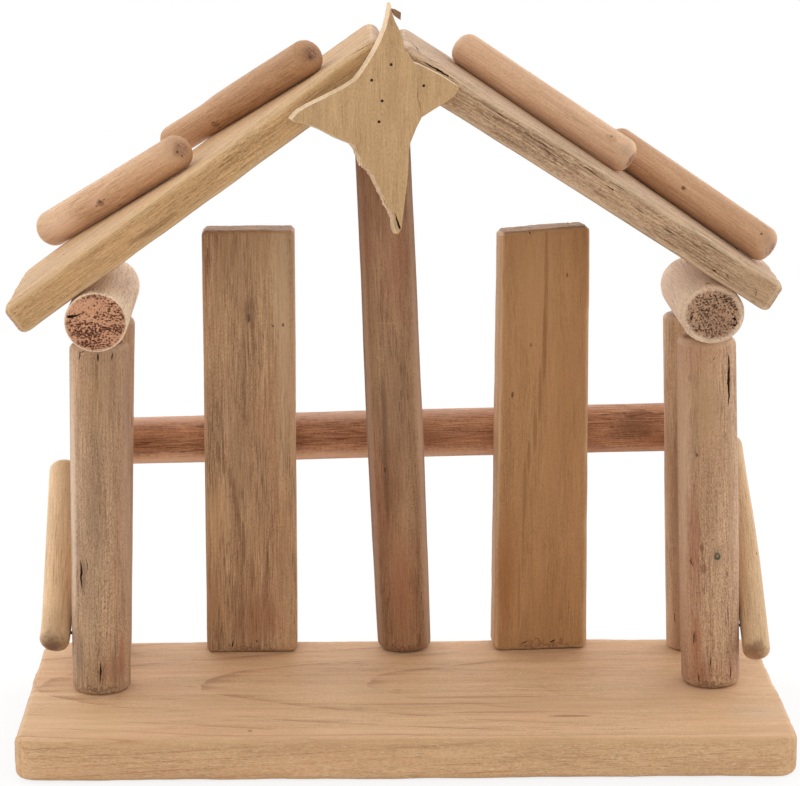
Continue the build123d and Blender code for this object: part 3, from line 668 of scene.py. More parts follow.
def dress(mesh, wood, look):  # marks are given by their pixel and found on the piece
    look = {**plainLook, **look}
    search = searchTree(mesh) if look["marks"] else None
    marks = [(onMesh(mesh, search, pixel)[2], *rest) for pixel, *rest in look["marks"]]
    fillWood(wood, look, marks)


stickShape = dict(
    sides=97, capRings=27, step=0.8, arris=3.4, oval=0.012, ovalTurn=1.0, lump=0.7, lumpSize=22.0,
    grain=0.16, grainWidth=1.1, pit=0.12, pitSize=1.2, pitRow=1.0, pitGather=1.2, facing=(0.0, -1.0, 0.0),
    sectionWay=(0.0, 0.0, 0.0), holes=(), cracks=(), blocks=())


def makeTimber(name, piece, tree, inputs, data):  # one wooden piece in the place of its CAD node
    host = bpy.data.objects.new(name, data)
    bpy.context.scene.collection.objects.link(host)
    wood = bpy.data.materials.new(piece["wood"] + "_" + name)
    mesh = shapeBy(tree, inputs, host, piece, wood)
    dress(mesh, wood, piece)
    if piece["holes"] or piece["cracks"] or piece["blocks"]:
        mesh = carve(mesh, piece["holes"], piece["cracks"], piece["blocks"])
    node = "".join("_" + c.lower() if c.isupper() else c for c in name)
    keepPiece(name, mesh, node)


def makeStick(name, stick):
    piece = {**stickShape, **stick}
    curve = bpy.data.curves.new(name, "CURVE")
    curve.dimensions = "3D"
    spline = curve.splines.new("POLY")
    spline.points.add(len(piece["guide"]) - 1)
    for point, (x, y, z, r) in zip(spline.points, piece["guide"]):
        point.co = (x * mm, y * mm, z * mm, 1)
        point.radius = r * mm
    start, end = Vector(piece["guide"][0][:3]), Vector(piece["guide"][-1][:3])
    piece["bodyRings"] = int((end - start).length / piece["step"])
    makeTimber(name, piece, stickTree, stickInputs, curve)


# guide: points along the middle with the radius there. Cracks: pixels of the photograph, width, depth.
# Marks: pixel, half sizes across and along the grain, colour, depth.
upward = (0.0, 0.0, 1.0)
# debarked branches, weathered: dull grey brown with short dark pores and some long checks
frontPostLeft = dict(
    slot="post_wood", wood="debarkedBranch", seed=2,
    guide=[(-114.0, 2.5, 15.0, 11.0), (-113.2, 2.5, 80.0, 11.1), (-112.2, 2.5, 148.0, 11.1)],
    sectionWay=upward, arris=2.6, hairDepth=0.3, light="#D1AC88", dark="#886446", stain="#8F7155",
    tint="#B58263", edgeTone="#DCBFA2", speckDepth=0.9, dotDepth=0.35, fibreDepth=0.5, streakDepth=0.45,
    bump=1.0,
    cracks=[([(80.5, 560), (81.5, 570), (81, 580), (82.5, 589)], 1.4, 2.2),
            ([(86, 557), (87.5, 566), (86, 575)], 0.4, 1.0), ([(77.5, 565), (77, 580)], 0.35, 0.8),
            ([(83, 590), (86, 597)], 0.4, 0.8), ([(101, 662), (100.5, 674), (100, 685)], 0.9, 2.2),
            ([(97.8, 353), (97.5, 362)], 0.9, 1.6), ([(80, 350.5), (79.5, 361)], 0.8, 1.2),
            ([(112.5, 352), (112, 361)], 0.8, 1.4), ([(79, 353), (86, 350)], 0.5, 1.0)],
    # marks: the dark line at the foot (101, 691) is a painted contact shadow, the pale strips down the left
    # rim (73, 500) and the right rim (127, 500) are painted highlights, and the dark band down the middle
    # (94, 500) is painted shade
    marks=[((101, 691), 13.0, 1.4, "#553824", 0.6), ((95, 400), 9.0, 22.0, "#AE8761", 0.5),
           ((73, 500), 3.2, 70.0, "#D8BEA4", 0.7), ((94, 500), 5.5, 40.0, "#8C6C52", 0.42),
           ((88, 600), 5.0, 22.0, "#896C53", 0.35), ((119, 560), 4.0, 50.0, "#BE9171", 0.45),
           ((127, 500), 3.0, 80.0, "#C1A086", 0.5), ((83, 576), 1.6, 8.0, "#6D4C33", 0.5),
           ((112, 670), 7.0, 9.0, "#9E6A4B", 0.5), ((122, 655), 2.0, 10.0, "#AA624B", 0.45),
           ((80, 655), 3.0, 14.0, "#816853", 0.5)])
makeStick("frontPostLeft", frontPostLeft)

frontPostRight = dict(
    slot="post_wood", wood="debarkedBranch", seed=3,
    guide=[(116.9, 5.5, 15.0, 11.0), (114.8, 5.5, 75.0, 11.4), (112.3, 5.5, 148.6, 11.0)],
    sectionWay=upward, arris=2.8, hairDepth=0.3, light="#D2AB87", dark="#8A6043", stain="#997552",
    tint="#B17557", tintDepth=0.4, edgeTone="#DFC2A1", speckDepth=0.9, dotDepth=0.35, fibreDepth=0.5,
    streakDepth=0.5, bump=1.0,
    cracks=[([(727.5, 352), (729, 363), (728.5, 380), (729, 395), (728, 407)], 1.7, 3.0),
            ([(715, 357), (713, 362)], 0.6, 1.0), ([(694, 632), (693.5, 645)], 0.7, 1.5),
            ([(731, 664), (730, 680)], 0.8, 1.8), ([(711, 655), (710.5, 668)], 0.6, 1.2),
            ([(691, 560), (693, 567)], 0.6, 1.0), ([(698, 672), (699, 683)], 0.6, 1.2)],
    # marks: the dark line at the foot (710, 685) is a painted contact shadow, the pale strip down the left
    # side (683, 480) is a painted highlight, and the darker strip down the right side (731, 480) is painted
    # shade
    marks=[((710, 685), 13.0, 1.4, "#55341F", 0.6), ((706, 405), 10.0, 34.0, "#B8946C", 0.55),
           ((683, 480), 7.0, 95.0, "#DDBA99", 0.6), ((731, 480), 2.5, 60.0, "#A5805C", 0.4),
           ((693, 545), 4.5, 32.0, "#9C5E42", 0.55), ((690, 378), 1.0, 1.6, "#8E7356", 0.6),
           ((697, 455), 0.5, 0.8, "#573A2C", 0.8), ((718, 555), 3.0, 5.0, "#8E785A", 0.5),
           ((717.5, 556.5), 1.5, 1.7, "#423B2E", 0.9), ((717.5, 556), 0.6, 0.7, "#8E7C5C", 0.9),
           ((702, 548), 1.0, 1.6, "#8E513B", 0.7), ((704, 569), 1.2, 2.4, "#8E5D45", 0.7),
           ((691, 561), 0.6, 1.6, "#8E4832", 0.7), ((727, 574), 0.5, 1.2, "#724D36", 0.7),
           ((696, 640), 3.0, 14.0, "#A56342", 0.5), ((700, 672), 6.0, 8.0, "#975B3D", 0.5),
           ((695, 637), 0.9, 2.6, "#72533B", 0.6)])
makeStick("frontPostRight", frontPostRight)

rearPostLeft = dict(
    slot="post_wood", wood="debarkedBranch", seed=4,
    guide=[(-117.0, 52.5, 15.0, 11.0), (-113.4, 52.5, 147.6, 11.0)],
    sectionWay=upward, arris=2.4, light="#CFA783", dark="#936D4E", stain="#A57F5A", tint="#B57F5A")
makeStick("rearPostLeft", rearPostLeft)

rearPostRight = dict(
    slot="post_wood", wood="debarkedBranch", seed=5,
    guide=[(115.9, 52.5, 15.0, 11.0), (112.3, 52.5, 148.2, 11.0)],
    sectionWay=upward, arris=1.6, light="#DFBB95", dark="#9E7B59", stain="#B58D6A", tint="#B07B5A",
    tintDepth=0.45, cracks=[([(675, 612), (675, 624)], 0.7, 1.4)],
    # mark: the dark strip down the right side (676.5, 540) is painted shade from the front post beside it
    marks=[((676.5, 540), 4.5, 90.0, "#80553C", 0.4)])
makeStick("rearPostRight", rearPostRight)

# head cut to the undersides of the roof boards
kingHead = [(-60.0, -40.0, 210.7), (-6.9, -40.0, 249.0), (50.0, -40.0, 212.8), (50.0, -40.0, 290.0),
            (-60.0, -40.0, 290.0)]
kingPost = dict(
    slot="king_wood", wood="debarkedBranch", seed=6,
    guide=[(1.5, 52.8, 15.0, 10.5), (-2.3, 30.8, 99.0, 10.8), (-6.2, 7.8, 187.0, 10.3),
           (-9.3, -10.2, 257.0, 10.1)],
    sectionWay=upward, hairDepth=0.35, light="#B28C67", dark="#714B31", stain="#805B40", tint="#905336",
    tintDepth=0.5, edgeTone="#C69E78", blocks=[(kingHead, (0.0, 120.0, 0.0))],
    # marks: the dark line at the foot (403, 649) is a painted contact shadow, and the pale strips down the
    # left rim (371, 450) and the right rim (421, 450) are painted highlights
    marks=[((403, 649), 12.0, 1.3, "#4A2F1E", 0.55), ((371, 450), 2.8, 130.0, "#B48F74", 0.7),
           ((421, 450), 4.0, 150.0, "#C39E80", 0.85), ((386, 480), 1.4, 22.0, "#5C4028", 0.45),
           ((384, 412), 1.0, 18.0, "#604730", 0.45), ((385, 470), 0.5, 1.2, "#3E2818", 0.8),
           ((402, 585), 8.0, 36.0, "#A4664A", 0.5), ((396, 430), 8.0, 42.0, "#7C563E", 0.35),
           ((386, 323), 4.0, 0.5, "#BA9376", 0.5)])
makeStick("kingPost", kingPost)

# logs sawn across: pale sides, open end grain with deep dark pits
eaveLogLeft = dict(
    slot="eave_wood", wood="crosscutLog", seed=7,
    guide=[(-111.7, -18.5, 159.2, 11.15), (-112.0, 58.5, 159.2, 11.15)],
    facing=upward, sides=201, capRings=60, arris=0.6, oval=-0.02, ovalTurn=0.0, pit=0.7, pitSize=0.62,
    pitRow=0.6, pitGather=0.6, hairDepth=0.1, pitTone=0.95, endRingDepth=0.0, light="#FFE5C3",
    dark="#CEAA8A", stain="#E9C2A2", tint="#ECBC9A", end="#DDA27C", endDark="#5C2A14", edgeTone="#FFECCA",
    edgeDepth=0.1, speckDepth=1.0, speck=0.5, bump=1.1,
    cracks=[([(67.8, 317.8), (75, 315.8), (83.5, 313.5)], 1.1, 2.2, "open")])
makeStick("eaveLogLeft", eaveLogLeft)

eaveLogRight = dict(
    slot="eave_wood", wood="crosscutLog", seed=8,
    guide=[(112.6, -11.0, 159.9, 11.5), (112.1, 54.0, 159.9, 11.6)],
    facing=upward, sides=201, capRings=60, arris=2.2, oval=-0.035, ovalTurn=0.0, pit=0.5, pitSize=0.7,
    pitGather=0.35, hairDepth=0.1, pitTone=1.0, endRingDepth=0.0, light="#FEE5C7", dark="#CBAD8F",
    stain="#E8C6A7", tint="#E8C1A1", end="#C49B7A", endDark="#472714", edgeTone="#CFAE8F", edgeDepth=0.45,
    speckDepth=1.1, speck=0.55, bump=1.2,
    cracks=[([(705, 284.5), (709, 283), (714, 282.8)], 1.1, 1.4),
            ([(730, 319), (734.5, 318), (737, 321)], 1.3, 1.8),
            ([(737, 321), (735.5, 325.5), (731, 324.5)], 1.1, 1.6)],
    marks=[((718, 320), 9.5, 4.0, "#8D664B", 0.5)])
makeStick("eaveLogRight", eaveLogRight)

leftDown = (0.586, 0.0, -0.811)  # ways in which the roof nails are driven
rightDown = (-0.537, 0.0, -0.843)
# peeled sticks: smooth and warm, with little grain and small dark knots
roofStick = dict(sides=81, arris=4.2, lump=0.6)
roofLogLeftLower = dict(
    slot="stick_wood", wood="peeledStick", seed=9, **roofStick,
    guide=[(-136.0, 65.7, 179.3, 7.1), (-108.0, 33.0, 199.6, 6.8), (-80.5, 0.2, 219.6, 6.6)],
    hairDepth=0.15, light="#DFB78F", dark="#AD8058", stain="#B18864", tint="#CB946E", edgeTone="#D3B18E",
    holes=[((-119.88, 42.1, 199.42), leftDown), ((-106.59, 26.41, 209.03), leftDown)],
    marks=[((62, 228), 9.0, 18.0, "#E9C4A6", 0.6), ((97, 203), 4.2, 6.5, "#D5A88C", 0.6),
           ((96.5, 206), 0.4, 0.9, "#6F4A34", 0.7), ((104, 199.5), 0.4, 0.7, "#6F4A34", 0.7),
           ((100.5, 203), 1.8, 2.6, "#885D40", 0.75), ((100, 202), 0.7, 0.9, "#613F28", 0.8),
           ((120, 205), 0.5, 1.2, "#724C36", 0.8), ((178, 152), 3.6, 3.6, "#B18B6B", 0.5),
           ((178, 152), 2.2, 2.2, "#996F4F", 0.5), ((178, 152), 1.7, 1.7, "#B69170", 0.6),
           ((177.5, 152), 0.7, 0.9, "#5F3E28", 0.8), ((182, 156), 0.5, 0.6, "#5F3E28", 0.7)])
makeStick("roofLogLeftLower", roofLogLeftLower)

roofLogLeftUpper = dict(
    slot="stick_wood", wood="peeledStick", seed=10, **roofStick,
    guide=[(-89.3, 74.8, 212.0, 6.1), (-73.0, 55.7, 223.8, 6.15), (-63.0, 43.6, 231.5, 6.55),
           (-33.2, 8.3, 253.3, 6.75)],
    hairDepth=0.2, light="#C99C71", dark="#926541", stain="#966B49", tint="#B37F56", edgeTone="#C39873",
    holes=[((-73.04, 50.87, 232.4), leftDown), ((-59.52, 34.9, 242.17), leftDown)],
    cracks=[([(211, 124), (215, 121)], 0.7, 1.0), ([(218, 129), (222, 126)], 0.7, 1.0)],
    marks=[((308, 56), 4.0, 4.0, "#8C6442", 0.55), ((310, 57), 1.9, 2.2, "#7C5335", 0.6),
           ((310, 57), 0.8, 0.9, "#4F3220", 0.8), ((216, 125), 1.8, 2.4, "#774F35", 0.6)])
makeStick("roofLogLeftUpper", roofLogLeftUpper)

roofLogRightUpper = dict(
    slot="stick_wood", wood="peeledStick", seed=11, **roofStick,
    guide=[(83.9, 13.5, 213.2, 6.6), (52.0, 29.3, 233.5, 6.5), (21.2, 44.9, 253.2, 6.3)],
    hairDepth=0.08, light="#E8BF9B", dark="#BD9471", stain="#C29877", tint="#DBAA85", edgeTone="#E3BF9D",
    streakDepth=0.25,
    holes=[((78.53, 17.86, 224.22), rightDown), ((47.81, 33.25, 243.79), rightDown)],
    marks=[((611.5, 136.5), 0.45, 0.5, "#533423", 0.9), ((612, 138), 1.6, 3.0, "#B88C6A", 0.5),
           ((628, 150), 4.0, 4.0, "#AD8C73", 0.5)])
makeStick("roofLogRightUpper", roofLogRightUpper)

roofLogRightLower = dict(
    slot="stick_wood", wood="peeledStick", seed=12, **roofStick,
    guide=[(135.7, 8.4, 180.8, 6.85), (79.9, 52.2, 216.2, 6.7)], hairDepth=0.1, light="#D2A781",
    dark="#AB7E5B", stain="#AD7F5D", tint="#C49069", edgeTone="#CEA682", streakDepth=0.3,
    holes=[((131.1, 14.49, 190.84), rightDown), ((103.8, 35.95, 208.24), rightDown)],
    marks=[((683.5, 188), 0.8, 1.0, "#5A3823", 0.8), ((761.5, 234), 0.5, 0.6, "#5A3823", 0.8),
           ((768, 240), 4.0, 4.0, "#A67F61", 0.5)])
makeStick("roofLogRightLower", roofLogRightLower)

forward = (0.0, -1.0, 0.0)
# a branch of red hardwood: dark streaks in reddish brown
backRail = dict(
    slot="rail_wood", wood="redBranch", seed=13,
    guide=[(-118.2, 72.8, 94.1, 9.1), (0.0, 72.6, 96.8, 9.3), (118.1, 72.8, 99.1, 9.5)],
    facing=upward, hairDepth=0.45, light="#D8A078", dark="#824F30", stain="#875132", tint="#B7754B",
    edgeTone="#D7A477", fibreDepth=0.8, streakDepth=0.9,
    holes=[((x, 82.1, z), forward) for x, z in ((-113.7, 94.2), (-58.5, 95.4), (54.3, 97.8),
                                                (113.6, 99.1))],
    # marks: the pale bands along the top (170, 419.5) and the bottom (170, 460.0) are painted highlights,
    # and the dark band along the middle (170, 441) is painted shade
    marks=[((634, 428), 8.0, 15.0, "#633C24", 0.6), ((170, 441), 3.5, 260.0, "#744320", 0.25),
           ((170, 419.5), 5.6, 240.0, "#D8AD93", 0.8), ((170, 460.0), 5.5, 240.0, "#E9BF9D", 0.95)])
makeStick("backRail", backRail)

sideBraceLeft = dict(
    slot="brace_wood", wood="peeledStick", seed=14,
    guide=[(-131.7, -2.0, 32.3, 5.7), (-130.8, 5.0, 38.9, 5.8), (-130.7, 27.0, 60.0, 5.9),
           (-131.0, 57.6, 88.3, 6.0)],
    sides=81, hairDepth=0.12, light="#F1CCA2", dark="#BA966F", stain="#BA9D79", tint="#D8AF83",
    edgeTone="#CCA77F",
    holes=[((-136.7, 2.5, 36.55), (1.0, 0.0, 0.0)), ((-137.0, 52.5, 83.55), (1.0, 0.0, 0.0))],
    marks=[((54, 628), 7.0, 13.0, "#8F6B48", 0.35), ((52, 646), 9.0, 6.5, "#5E4028", 0.8)])
makeStick("sideBraceLeft", sideBraceLeft)

sideBraceRight = dict(
    slot="brace_wood", wood="peeledStick", seed=15,
    guide=[(133.2, -3.4, 27.2, 5.2), (131.6, 28.0, 62.4, 5.2), (129.2, 59.5, 97.4, 4.6)],
    sides=81, hairDepth=0.12, light="#E5BE95", dark="#B18E66", stain="#B1946F", tint="#CEA578",
    edgeTone="#C39E76",
    holes=[((137.8, 5.5, 37.05), (-1.0, 0.0, 0.0)), ((134.35, 52.5, 89.55), (-1.0, 0.0, 0.0))],
    cracks=[([(756, 551), (757, 556)], 0.7, 1.2)], marks=[((754, 649), 7.0, 5.0, "#7A5238", 0.8)])
makeStick("sideBraceRight", sideBraceRight)
print("sticks made")

boardShape = dict(
    step=1.0, edge=1.8, corner=2.0, bow=0.0, taper=0.0, topSlope=0.0, topLean=0.0, endSkew=0.0,
    roughWay=(0.0, 0.0, 0.0), rough=0.0, fibres=0.0, fibreLength=3.0, fibreWidth=0.1, lump=0.8,
    lumpSize=45.0, grain=0.14, grainWidth=1.6, pit=0.15, pitSize=1.4, pitRow=1.0, pitGather=1.2, holes=(),
    cracks=(), blocks=())


def makeBoard(name, board):
    makeTimber(name, {**boardShape, **board}, boardTree, boardInputs, bpy.data.meshes.new(name))


baseNails = [(-114.0, 2.5), (116.9, 5.5), (-115.8, 52.5), (115.9, 52.5), (1.5, 52.8), (-67.3, 54.5),
             (-49.6, 54.5), (45.2, 53.8), (63.4, 55.0)]
# tumbled pine: soft edges, curved growth lines on top, torn fibres on the sawn front
baseBoard = dict(
    slot="base_wood", wood="tumbledPine", seed=21, size=(282.0, 124.0, 14.8), middle=(0.0, 0.0, 7.6),
    lengthWay=(1.0, 0.0, 0.0), widthWay=(0.0, 1.0, 0.0), outWay=(0.0, 0.0, 1.0), edge=2.2, corner=8.0,
    roughWay=(0.0, -1.0, 0.0), rough=0.45, fibres=0.06, fibreLength=2.4, fibreWidth=0.13, lump=0.5,
    hairDepth=0.15, light="#E0B88B", dark="#AB7C53", tone=0.28, stain="#C79D70", tint="#D49F76",
    pith=(-151.75, 4.0), lean=(0.0, -3.1), ring=3.4, ringDepth=1.0, ringSharp=12.0, ringEnd=(22.0, 48.0),
    fibreDepth=0.3, streakDepth=0.35, dotDepth=0.1, wave=4.0, edgeDepth=0.15, edgeTone="#D6B180",
    fibreTone="#EAD3AD", endDark="#916B49", holes=[((x, y, 0.0), upward) for x, y in baseNails],
    marks=[((405, 743), 5.0, 260.0, "#B68F66", 0.4), ((700, 684), 15.0, 24.0, "#CCA37E", 0.6),
           ((90, 725), 20.0, 30.0, "#D0AE81", 0.35), ((762, 712), 14.0, 20.0, "#C4A585", 0.45),
           ((570, 716), 1.2, 9.0, "#916141", 0.75), ((500, 712), 0.8, 22.0, "#9D6E4B", 0.65),
           ((480, 697), 0.8, 26.0, "#A3724F", 0.6), ((430, 704), 0.9, 34.0, "#A2704B", 0.5),
           ((590, 668), 0.8, 16.0, "#A8754F", 0.45), ((330, 735), 0.8, 60.0, "#B07C52", 0.4),
           ((560, 735), 0.8, 70.0, "#B07C52", 0.35), ((250, 731), 0.8, 0.9, "#724A30", 0.8),
           ((398, 690), 0.8, 2.0, "#996944", 0.5)])
makeBoard("baseBoard", baseBoard)

# sawn planks, one greyish and one honey coloured: straight grain, dark lines, pale worn edges
wallPlankLeft = dict(
    slot="plank_wood", wood="sawnPlank", seed=22, size=(166.7, 35.3, 18.0), middle=(-58.45, 54.5, 98.4),
    lengthWay=(0.0, 0.0, 1.0), widthWay=(-1.0, 0.0, 0.0), outWay=(0.0, -1.0, 0.0), step=0.7, edge=1.8,
    corner=1.4, topLean=0.8, hairDepth=0.42, light="#D2AB81", dark="#876144", tone=0.36, stain="#9A7859",
    tint="#AB7752", edgeTone="#DEB188", end="#BD9671", endDark="#4E3221", dotDepth=0.1, fibreDepth=0.55,
    streak=0.42, streakDepth=0.6, streakLong=7.0, ring=7.0, ringDepth=0.25, pith=(-60.0, 6.0),
    lean=(1.5, 0.0),
    cracks=[([(233, 640), (232, 648)], 0.9, 1.5), ([(256.5, 640), (257, 643)], 0.8, 1.2)],
    # marks: the dark line at the foot (250, 649) is a painted contact shadow
    marks=[((247, 340), 5.0, 40.0, "#7C583C", 0.25), ((284, 330), 5.0, 80.0, "#CCAC87", 0.6),
           ((250, 649), 18.0, 1.3, "#64412A", 0.6), ((280, 265), 6.0, 40.0, "#D1B38E", 0.5),
           ((245, 255), 16.0, 26.0, "#BD9C75", 0.4), ((250, 612), 16.0, 22.0, "#986748", 0.35),
           ((216, 280), 4.0, 26.0, "#BF9975", 0.35), ((214, 520), 7.5, 22.0, "#D1A679", 0.55),
           ((213, 600), 7.0, 20.0, "#B1855C", 0.4), ((218, 452), 1.0, 5.0, "#764E32", 0.5),
           ((224, 464), 0.9, 5.0, "#764E32", 0.5), ((230, 477), 0.9, 5.0, "#764E32", 0.5),
           ((234, 491), 0.9, 6.0, "#764E32", 0.5), ((236, 508), 0.9, 6.0, "#7B5336", 0.5),
           ((239, 526), 0.9, 7.0, "#7B5336", 0.45), ((244, 548), 0.9, 8.0, "#7B5336", 0.45),
           ((252, 572), 0.9, 8.0, "#7B5336", 0.45), ((265, 620), 10.0, 12.0, "#9C6745", 0.45),
           ((283, 325), 0.5, 0.8, "#5D412D", 0.8), ((273, 326), 0.5, 0.6, "#5D412D", 0.7),
           ((249, 318), 0.5, 1.8, "#4A3020", 0.8), ((250, 310), 3.0, 8.0, "#74563D", 0.4)])
makeBoard("wallPlankLeft", wallPlankLeft)

plankTurn = radians(3.5)
wallPlankRight = dict(
    slot="plank_wood", wood="sawnPlank", seed=23, size=(167.0, 36.6, 16.0), middle=(54.5, 54.4, 98.5),
    lengthWay=(0.0, 0.0, 1.0), widthWay=(-cos(plankTurn), -sin(plankTurn), 0.0),
    outWay=(sin(plankTurn), -cos(plankTurn), 0.0), step=0.7, edge=2.3, corner=1.8, topLean=0.5,
    topSlope=-1.1, taper=1.1, hairDepth=0.15, light="#C19363", dark="#94663F", tone=0.35, stain="#9F7245",
    # edges: paler from wear, and made paler still (edgeTone, edgeDepth) as a painted highlight along the
    # left edge strip
    tint="#B58352", edgeTone="#E4C298", end="#B0865E", endDark="#4B2F20", dotDepth=0.05, fibreDepth=0.3,
    streakDepth=0.18, bandDepth=0.2, ring=9.0, ringDepth=0.2, pith=(-60.0, -8.0), lean=(1.5, 0.0),
    edgeDepth=0.65,
    cracks=[([(522, 643), (528, 641)], 0.9, 1.4), ([(549, 642), (556, 640)], 0.9, 1.4),
            ([(529, 231), (531, 234)], 0.9, 1.2), ([(508, 229), (520, 228), (535, 227.5)], 0.8, 1.2),
            ([(540, 226.5), (556, 225.5), (570, 225.5)], 0.6, 1.0)],
    # marks: the dark line at the foot (545, 645) is a painted contact shadow
    marks=[((540, 262), 16.0, 40.0, "#C0976A", 0.4), ((546, 300), 0.8, 34.0, "#8A5C33", 0.5),
           ((544, 345), 0.7, 18.0, "#8A5C33", 0.5), ((540, 395), 0.7, 12.0, "#8A5C33", 0.5),
           ((535, 432), 0.8, 9.0, "#8A5C33", 0.5), ((529, 456), 0.8, 7.0, "#8A5C33", 0.5),
           ((525, 490), 0.7, 14.0, "#8A5C33", 0.45), ((523, 540), 0.6, 16.0, "#8F6033", 0.45),
           ((519, 595), 0.6, 16.0, "#8F6033", 0.4), ((508, 560), 7.0, 34.0, "#A06A3E", 0.5),
           ((503, 590), 6.0, 28.0, "#9C6034", 0.4), ((545, 645), 18.0, 1.3, "#5F3B24", 0.6),
           ((567, 275), 0.4, 1.0, "#634023", 0.8), ((512.5, 395), 0.5, 1.3, "#55361F", 0.8),
           ((531, 345), 0.5, 0.9, "#734A2A", 0.6)])
makeBoard("wallPlankRight", wallPlankRight)

# sawn pine, roughened by the saw: short tears, dark pores and pale worn edges.
# Roof boards lie between their low corner and the ridge
leftBoard = dict(low=(-138.6, 154.0), up=(0.8106, 0.5857), long=166.3, thick=12.3, near=-18.5, far=58.0)
rightBoard = dict(low=(133.0, 160.0), up=(-0.8434, 0.5373), long=165.2, thick=12.0, near=-15.0, far=58.0)


def boardPlace(board, hand):
    up = Vector((board["up"][0], 0, board["up"][1]))
    out = Vector((hand * board["up"][1], 0, abs(board["up"][0])))
    low = Vector((board["low"][0], (board["near"] + board["far"]) / 2, board["low"][1]))
    middle = low + up * board["long"] / 2 + out * board["thick"] / 2
    size = (board["long"], board["far"] - board["near"], board["thick"])
    return dict(size=size, middle=middle, lengthWay=up, widthWay=(0.0, -hand, 0.0), outWay=out)


rafterBoardLeft = dict(
    slot="roof_wood", wood="sawnPine", seed=24, **boardPlace(leftBoard, -1), edge=3.0, corner=5.0,
    hairDepth=0.3, light="#D5AA77", dark="#926B41", tone=0.35, stain="#AC8758", tint="#C59563",
    edgeTone="#ECCEA4", edgeDepth=0.45, ring=4.0, ringDepth=0.25, pith=(-40.0, 10.0), streak=0.4,
    streakDepth=0.65, streakLong=3.5, fibreDepth=0.6,
    holes=[((-126.0, y, 178.3), leftDown) for y in (17.5, 35.0)],
    cracks=[([(372, 36), (364, 40), (355, 45)], 0.5, 0.8), ([(373, 43), (362, 49), (350, 55)], 0.5, 0.8)],
    # marks: the darker patch near the ridge (350, 68) is painted shade from the star
    marks=[((160, 225), 1.0, 9.0, "#7F5B37", 0.5), ((140, 237), 0.7, 6.0, "#7F5B37", 0.5),
           ((350, 68), 4.0, 22.0, "#A0774A", 0.5)])
makeBoard("rafterBoardLeft", rafterBoardLeft)

rafterBoardRight = dict(
    slot="roof_wood", wood="sawnPine", seed=25, **boardPlace(rightBoard, 1), edge=3.0, corner=5.0, step=0.7,
    roughWay=(0.0, -1.0, 0.0), rough=0.6, fibres=0.08, fibreLength=2.2, fibreWidth=0.09, bow=0.3,
    endSkew=0.8, hairDepth=0.75, light="#CCA783", dark="#8F6C4D", tone=0.35, fibreDepth=0.8,
    streakDepth=1.0, streakLong=4.0, speckDepth=0.8, dotDepth=0.5, stain="#A27E5B", tint="#B99168",
    edgeTone="#EACEAB", edgeDepth=0.5, ring=4.0, ringDepth=0.2, pith=(-40.0, -10.0), end="#B9936B",
    holes=[((124.8, y, 179.5), rightDown) for y in (19.6, 36.0)],
    cracks=[([(455, 80), (447, 75), (438, 70), (428, 64), (421, 61)], 1.1, 1.8),
            ([(446, 67), (438, 63), (430, 60), (424, 56)], 0.7, 1.2),
            ([(421, 55), (416, 47), (411, 42)], 0.9, 1.4), ([(543, 147), (552, 156)], 0.6, 1.0),
            ([(524, 130), (533, 139)], 0.6, 1.0), ([(496, 112), (508, 120)], 0.6, 0.8),
            ([(538, 141), (549, 148)], 0.6, 0.8), ([(561, 158), (572, 165)], 0.6, 0.8),
            ([(580, 164), (598, 176)], 0.6, 0.8), ([(603, 184), (618, 193)], 0.6, 0.8),
            ([(612, 182), (626, 191)], 0.5, 0.8), ([(632, 206), (648, 216)], 0.6, 0.8),
            ([(660, 226), (678, 237)], 0.6, 0.8), ([(690, 242), (702, 250)], 0.6, 0.8),
            ([(712, 268), (717, 273)], 0.8, 1.2), ([(725, 272), (729, 279)], 0.6, 1.0),
            ([(752, 288), (757, 290), (755, 298)], 0.5, 0.8), ([(750, 300), (756, 303)], 0.6, 0.8)],
    marks=[((752, 286), 9.0, 12.0, "#A5835F", 0.4)])
makeBoard("rafterBoardRight", rafterBoardRight)
print("boards made")

